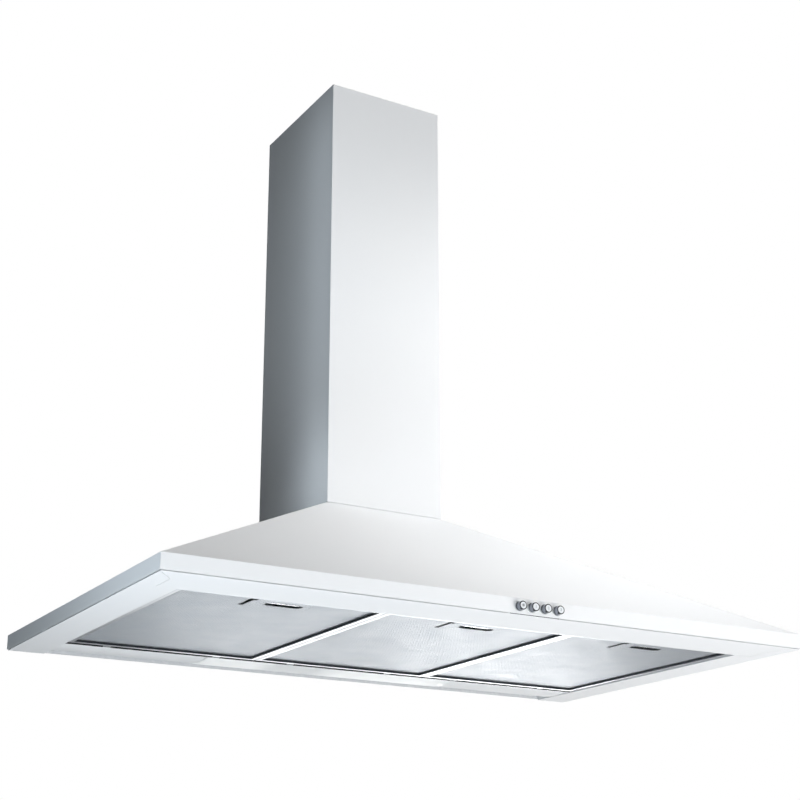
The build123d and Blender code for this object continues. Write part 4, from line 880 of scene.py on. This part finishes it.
def makePad(number, middleX, frontY, look):
    # the further layers of mesh, with room for the latch and its plate
    low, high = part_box(f"filter_{number}_mesh")
    rear = cassetteLook["border"] + meshLook["short"]
    pad = block(f"filterPad{number}", (low.x + look["inset"], low.y + look["inset"], low.z + look["above"]),
                (high.x - rear, high.y - rear, high.z + look["rise"]))
    room = look["latchRoom"]
    cut(pad, block("latchRoom", (middleX - room["left"], low.y - over, low.z),
                   (middleX + room["right"], frontY + room["depth"], high.z + room["height"])))
    soften(pad, look["edge"], 2)
    return fit(pad, filterPad, f"filter_{number}")


latchLook = {
    "sheet": 1.5 * mm, "front": 1.6 * mm, "edge": 0.3 * mm, "boltSide": 8 * mm, "boltReach": 2 * mm,
    "padRadius": 4 * mm, "padStretch": 15 * mm, "padInset": 0.3 * mm, "padRise": 1.4 * mm,
    "padSunk": 0.4 * mm, "padEdge": 0.5 * mm,
}


def makeLatch(number, slotX, look):
    # a sliding plate with its bolt in front, and the pad that the finger draws back
    low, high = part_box(f"filter_{number}_latch")
    bottom = high.z - look["sheet"]
    plate = block(f"latch{number}", (low.x, low.y + look["front"], bottom), high)
    bolt = block("bolt", (slotX - look["boltSide"], low.y, bottom),
                 (slotX + look["boltSide"], low.y + look["boltReach"], high.z))
    soften(plate, look["edge"], 2)
    soften(bolt, look["edge"], 2)
    padY = high.y - look["padInset"] - look["padRadius"]
    padBottom, padTop = low.z + look["padRise"], bottom + look["padSunk"]
    pad = rod("pad", (slotX, padY, (padBottom + padTop) / 2), look["padRadius"], padTop - padBottom)
    for vertex in pad.data.vertices:
        side = vertex.co.x - slotX
        if abs(side) > near / 100:
            vertex.co.x += look["padStretch"] if side > 0 else -look["padStretch"]
    soften(pad, look["padEdge"], 3)
    join(plate, [bolt, pad])
    bpy.ops.object.shade_smooth_by_angle(angle=radians(smoothAngle))
    return fit(plate, latchSteel, f"filter_{number}_latch", f"filter_{number}_latch")


def makeLatchPlate(number, middleX, frontY, look):
    # the plate over the finger slot, woven like the mesh around it with the same painted shade in the holes,
    # with the slit beside the slot
    plate = copyNode(f"latchPlate{number}", f"filter_{number}_latch_plate")
    low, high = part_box(f"filter_{number}_latch_plate")
    slitX = middleX + look["offset"]
    left, right = slitX - look["width"] / 2, slitX + look["width"] / 2
    front = frontY + look["inset"] - look["length"] / 2
    for end in ((right, front + look["length"]), (slitX + look["leg"], front + look["width"])):
        cut(plate, block("slit", (left, front, low.z - over), (*end, high.z + over)))
    soften(plate, look["edge"], 1, fineAngle)
    fit(plate, filterPad, f"filter_{number}", f"filter_{number}_latch_plate")
    # painted shade on the walls of the slit and the plate's edges, by the dark wall metal
    paintWallShade(plate)
    return plate


meshBoxes = [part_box(f"filter_{number}_mesh") for number in range(1, 4)]
meshes = [makeStrandSheet(meshLook)]
for number in (2, 3):
    step = meshBoxes[number - 1][0].x - meshBoxes[0][0].x
    meshes.append(copyPiece(meshes[0], f"filterMesh{number}", (step, 0, 0)))
for number, mesh in enumerate(meshes, start=1):
    low, high = meshBoxes[number - 1]
    middleX = (low.x + high.x) / 2
    frontY = low.y - cassetteLook["clear"]
    makeCassette(number, cassetteLook)
    makeMesh(number, mesh, middleX, frontY)
    makePad(number, middleX, frontY, padLook)
    makeLatch(number, middleX + slotLook["offset"], latchLook)
    makeLatchPlate(number, middleX, frontY, slitLook)
print("filter cassettes done")

buttonLook = {
    "radius": 5.25 * mm, "recess": 0.15 * mm, "rimWidth": 1.3 * mm, "dish": 0.25 * mm, "edge": 0.7 * mm,
    "flange": 1 * mm, "flangeRadius": 6.15 * mm, "stem": 14 * mm, "stemRadius": 2 * mm,
    "faceInset": 1.1 * mm, "faceThick": 0.3 * mm, "faceEdge": 0.1 * mm, "sides": 64,
}


def makeCap(look):
    # the first cap: cap, flange and stem turned on one axis
    low, high = buttonBoxes[0]
    middle = buttonMiddles[0]
    face = low.y + look["recess"]
    capRear = high.y - look["stem"] - look["flange"]
    cap = rod("buttonCap1", (middle.x, (face + capRear) / 2, middle.z), look["radius"],
              capRear - face, "Y", look["sides"])
    pickFaces(cap, lambda spot, normal: normal.y < -facing)
    bpy.ops.mesh.inset(thickness=look["rimWidth"], depth=-look["dish"])
    pickFaces(cap, lambda spot, normal: normal.y > facing)
    bpy.ops.mesh.inset(thickness=0)
    wider = look["flangeRadius"] / look["radius"]
    bpy.ops.transform.resize(value=(wider, 1, wider), center_override=middle)
    extrude(y=look["flange"])
    bpy.ops.mesh.inset(thickness=look["flangeRadius"] - look["stemRadius"], depth=0)
    extrude(y=look["stem"])
    closeEdit()
    soften(cap, look["edge"], 4, roundAngle)
    return cap


def makeFace(number, look):
    # the pale disc in the cap's dish
    middle = buttonMiddles[number - 1]
    place = (middle.x, buttonBoxes[0][0].y + look["recess"] + look["dish"], middle.z)
    disc = rod(f"buttonFace{number}", place, look["radius"] - look["faceInset"], look["faceThick"],
               "Y", look["sides"])
    soften(disc, look["faceEdge"], 2, roundAngle)
    return fit(disc, buttonWhite, f"button_{number}")


bezelLook = {
    "outer": 6.5 * mm, "bore": 5.55 * mm, "barrel": 6.15 * mm, "plate": 1.2 * mm, "reach": 4 * mm,
    "edge": 0.4 * mm, "drill": 14 * mm, "sides": 64,
}


def makeBezel(number, look):
    # a rounded lip on the rim and a thin barrel through it
    middle = buttonMiddles[number - 1]
    lip = rod(f"bezel{number}", (middle.x, canopyLow.y - look["plate"] / 2, middle.z), look["outer"],
              look["plate"], "Y", look["sides"])
    barrel = rod("barrel", (middle.x, canopyLow.y + look["reach"] / 2, middle.z), look["barrel"],
                 look["reach"], "Y", look["sides"])
    for part in (lip, barrel):
        place = (middle.x, canopyLow.y, middle.z)
        cut(part, rod("bore", place, look["bore"], look["drill"], "Y", look["sides"]))
    soften(lip, look["edge"], 3, roundAngle)
    join(lip, [barrel])
    bpy.ops.object.shade_smooth_by_angle(angle=radians(roundAngle))
    return lip


signLook = {
    "figure": 4.6 * mm, "raise": 0.12 * mm, "ring": 1.3 * mm, "ringLine": 0.22 * mm,
    "bar": Vector((1.3 * mm, 0.1 * mm, 0.18 * mm)),
}


def makeSign(number, look):
    # a lamp sign on the first cap, plain numbers on the others
    middle = buttonMiddles[number - 1]
    place = (middle.x, buttonBoxes[0][0].y + buttonLook["dish"], middle.z)
    bpy.ops.object.select_all(action="DESELECT")
    if number == 1:
        bpy.ops.mesh.primitive_torus_add(
            location=place, rotation=(pi / 2, 0, 0), major_radius=look["ring"],
            minor_radius=look["ringLine"], major_segments=32, minor_segments=6,
        )
        sign = bpy.context.object
        settle(sign)
        bars = []
        for turn in (pi / 4, -pi / 4):
            bar = block("bar", -look["bar"], look["bar"])
            bar.rotation_euler = (0, turn, 0)
            bar.location = place
            settle(bar)
            bars.append(bar)
        join(sign, bars)
    else:
        bpy.ops.object.text_add(location=place, rotation=(pi / 2, 0, 0))
        text = bpy.context.object
        text.data.body = str(number - 1)
        text.data.size = look["figure"]
        text.data.extrude = look["raise"]
        text.data.align_x = "CENTER"
        text.data.align_y = "CENTER"
        focus(text)
        bpy.ops.object.convert(target="MESH")
        sign = bpy.context.object
        settle(sign)
    named(sign, f"buttonIcon{number}")
    return fit(sign, iconGrey if number == 1 else signGrey, f"button_{number}")


firstCap = makeCap(buttonLook)
bezels = []
for number, middle in enumerate(buttonMiddles, start=1):
    cap = firstCap if number == 1 else copyPiece(firstCap, f"buttonCap{number}", middle - buttonMiddles[0])
    fit(cap, buttonGrey, f"button_{number}", f"button_{number}")
    makeFace(number, buttonLook)
    bezels.append(makeBezel(number, bezelLook))
ringSet = named(join(bezels[0], bezels[1:]), "buttonBezels")
fit(ringSet, bezelGrey, "hood", "button_bezels")
for number in range(1, 5):
    makeSign(number, signLook)
print("buttons done")

# pieces that keep the frame's own form, and how far their edges are rounded
refined = {
    "lamp_panel": 0.5 * mm, "lamp_cover": 0.6 * mm, "lamp_cover_screw": 0.3 * mm, "lamp_tray": 0.3 * mm,
    "rear_rail": 0.25 * mm, "lamp_left": 0.1 * mm, "lamp_right": 0.1 * mm, "lamp_holder_left": 0.8 * mm,
    "lamp_holder_right": 0.8 * mm, "casing_left": 0.5 * mm, "casing_right": 0.5 * mm,
    "inlet_ring_left": 0.3 * mm, "inlet_ring_right": 0.3 * mm, "impeller": 0.2 * mm, "motor": 0.6 * mm,
    "motor_shaft": 0.5 * mm, "motor_bracket": 0.4 * mm, "outlet_collar": 0.4 * mm, "flap_front": 0.2 * mm,
    "flap_rear": 0.2 * mm, "flap_pin": 0.3 * mm, "cable_gland": 0.4 * mm, "capacitor": 0.8 * mm,
    "terminal_box": 0.6 * mm, "switch_block": 0.5 * mm, "casing_screws": 0.4 * mm, "deck_screws": 0.4 * mm,
    "back_panel": 0.3 * mm, "blower_deck": 0.3 * mm, "ceiling_bracket": 0.3 * mm,
}


def refine(node, edge):
    piece = copyNode(node + "Fine", node)
    soften(piece, edge, 2, fineAngle)
    # the rear rail takes the dark wall metal: painted shade for the dark line between the filters and the
    # lamp panel
    material = wallShadeMetal if node == "rear_rail" else slotFinish[slotOf[node]]
    return fit(piece, material, nodes[node]["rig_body"], node)


for node, edge in refined.items():
    refine(node, edge)
print("inner pieces done")

studio = {
    "floor": -1.55,
    "floorSize": 12,
    "floorGlow": (0.6, 0.61, 0.62),  # keeps the floor pale from every side, without lighting the hood
    "ambient": 0.01,
    "sky": 0.04,
    "skyBand": (0.3, 0.9),  # where the ceiling's light begins and is full, as heights of the view's direction
    "tints": {"plain": (1, 1, 1), "cool": (0.82, 0.92, 1.0)},
    "lights": (
        # name, place, aimed at, width, height, spread, power, tint
        ("frontHigh", (0.2, -2.6, 0.3), (0.0, -0.3, 0.2), 1.6, 1.6, 180, 8.9, "plain"),
        ("frontLow", (0.9, -2.2, -0.6), (0.1, -0.3, 0.1), 1.2, 1.2, 180, 21.9, "plain"),
        ("above", (0.3, -1.0, 2.2), (0.1, -0.3, 0.0), 1.4, 1.4, 180, 16.5, "plain"),
        ("aboveNear", (0.45, -0.7, 0.65), (0.1, -0.45, -0.02), 0.4, 0.4, 110, 1.8, "plain"),
        ("belowRight", (0.8, -1.0, -1.5), (0.8, -1.0, 0.0), 1.5, 1.5, 180, 23.0, "plain"),
        ("belowLeft", (-0.8, -1.0, -1.5), (-0.8, -1.0, 0.0), 1.5, 1.5, 180, 1.4, "cool"),
        ("belowBack", (0.1, 0.7, -1.5), (0.1, 0.7, 0.0), 2.0, 1.6, 180, 0.9, "plain"),
        ("left", (-1.8, -1.4, -0.1), (-0.4, -0.4, 0.0), 1.0, 1.0, 180, 2.4, "cool"),
        ("leftRim", (-1.1, -0.95, -0.85), (-0.42, -0.4, -0.1), 0.5, 0.5, 120, 3.5, "cool"),
        ("leftCorner", (-1.05, -0.57, -0.3), (-0.449, -0.51, -0.08), 0.3, 0.1, 60, 0.15, "cool"),
        ("leftEdge", (-0.235, -0.225, 0.4), (-0.09, -0.18, 0.4), 0.05, 0.64, 90, 0.056, "cool"),
        ("leftFoot", (-0.27, -0.24, 0.15), (-0.09, -0.19, 0.13), 0.05, 0.12, 60, 0.01, "cool"),
        ("right", (3.0, 0.3, 0.1), (0.3, -0.2, 0.25), 1.0, 0.6, 50, 8.0, "plain"),
        ("behind", (0.4, 3.0, 0.5), (0.0, 0.0, 0.45), 1.6, 1.2, 50, 10.0, "plain"),
    ),
    "reflected": (
        # bright cards that only show in reflections
        ("cardRight", (1.48, 1.72, -0.59), (0.08, -0.3, -0.1), 0.64, 0.9, 180, 11.8, "plain"),
        ("cardLeft", (0.95, 2.15, -0.59), (0.0, -0.27, -0.1), 0.6, 1.1, 180, 7.4, "plain"),
    ),
}


def makeLight(name, place, target, width, height, spread, power, tint):
    light = bpy.data.lights.new(name, "AREA")
    light.shape = "RECTANGLE"
    light.size = width
    light.size_y = height
    light.spread = radians(spread)
    light.energy = power
    light.color = studio["tints"][tint]
    lamp = bpy.data.objects.new(name, light)
    lamp.location = place
    lamp.rotation_euler = (Vector(target) - Vector(place)).to_track_quat("-Z", "Y").to_euler()
    lamp.visible_camera = False
    bpy.context.scene.collection.objects.link(lamp)
    return lamp


def makeWorld(look):
    # plain white behind the object, and round it a dim room with a soft bright ceiling
    world = bpy.data.worlds.new("studio")
    bpy.context.scene.world = world
    world.use_nodes = True
    tree = world.node_tree
    add, link = tree.nodes.new, tree.links.new
    sky = tree.nodes["Background"]
    coords, split = add("ShaderNodeTexCoord"), add("ShaderNodeSeparateXYZ")
    ceiling = add("ShaderNodeMapRange")
    ceiling.interpolation_type = "SMOOTHSTEP"
    ceiling.inputs["From Min"].default_value = look["skyBand"][0]
    ceiling.inputs["From Max"].default_value = look["skyBand"][1]
    ceiling.inputs["To Min"].default_value = look["ambient"]
    ceiling.inputs["To Max"].default_value = look["sky"]
    path, strength = add("ShaderNodeLightPath"), add("ShaderNodeMix")
    strength.inputs["B"].default_value = 1.0
    link(coords.outputs["Generated"], split.inputs[0])
    link(split.outputs["Z"], ceiling.inputs["Value"])
    link(ceiling.outputs["Result"], strength.inputs["A"])
    link(path.outputs["Is Camera Ray"], strength.inputs["Factor"])
    link(strength.outputs["Result"], sky.inputs["Strength"])
    sky.inputs["Color"].default_value = (1, 1, 1, 1)
    bpy.context.scene.view_settings.view_transform = "Standard"


def makeFloor(look):
    # pale to the camera alone: what it sends back to the hood comes from the darker paint
    bpy.ops.object.select_all(action="DESELECT")
    bpy.ops.mesh.primitive_plane_add(size=look["floorSize"], location=(0, 0, look["floor"]))
    floor = named(bpy.context.object, "floor")
    settle(floor)
    paint = finish("floorPaint", {
        "colour": (0.3, 0.3, 0.3), "patch": (0.28, 0.28, 0.28), "roughness": 0.8, "bump": 0.05,
    })
    add, link = paint.node_tree.nodes.new, paint.node_tree.links.new
    shader = paint.node_tree.nodes["Principled BSDF"]
    seen, pale = add("ShaderNodeLightPath"), add("ShaderNodeMix")
    pale.data_type = "RGBA"
    pale.inputs["A"].default_value = (0, 0, 0, 1)
    pale.inputs["B"].default_value = (*look["floorGlow"], 1)
    link(seen.outputs["Is Camera Ray"], pale.inputs["Factor"])
    link(pale.outputs["Result"], shader.inputs["Emission Color"])
    shader.inputs["Emission Strength"].default_value = 1.0
    floor.data.materials.append(paint)


def makeStudio(look):
    makeFloor(look)
    for light in look["lights"]:
        makeLight(*light).visible_glossy = False
    for card in look["reflected"]:
        makeLight(*card).visible_diffuse = False
    makeWorld(look)


cameraPlan = {
    "place": (-1.0423, -2.0389, -0.4841),
    "heading": 30.3,  # degrees from straight at the wall towards the right
    "rise": 17.65,  # degrees above level
    "lens": 71.2,
    "shift": 0.0625,
}


def makeCamera(plan):
    data = bpy.data.cameras.new("camera")
    data.lens = plan["lens"]
    data.shift_y = plan["shift"]
    camera = bpy.data.objects.new("camera", data)
    camera.location = plan["place"]
    camera.rotation_euler = (radians(90 + plan["rise"]), 0, radians(-plan["heading"]))
    bpy.context.scene.collection.objects.link(camera)
    bpy.context.scene.camera = camera


makeStudio(studio)
makeCamera(cameraPlan)
print("studio done")
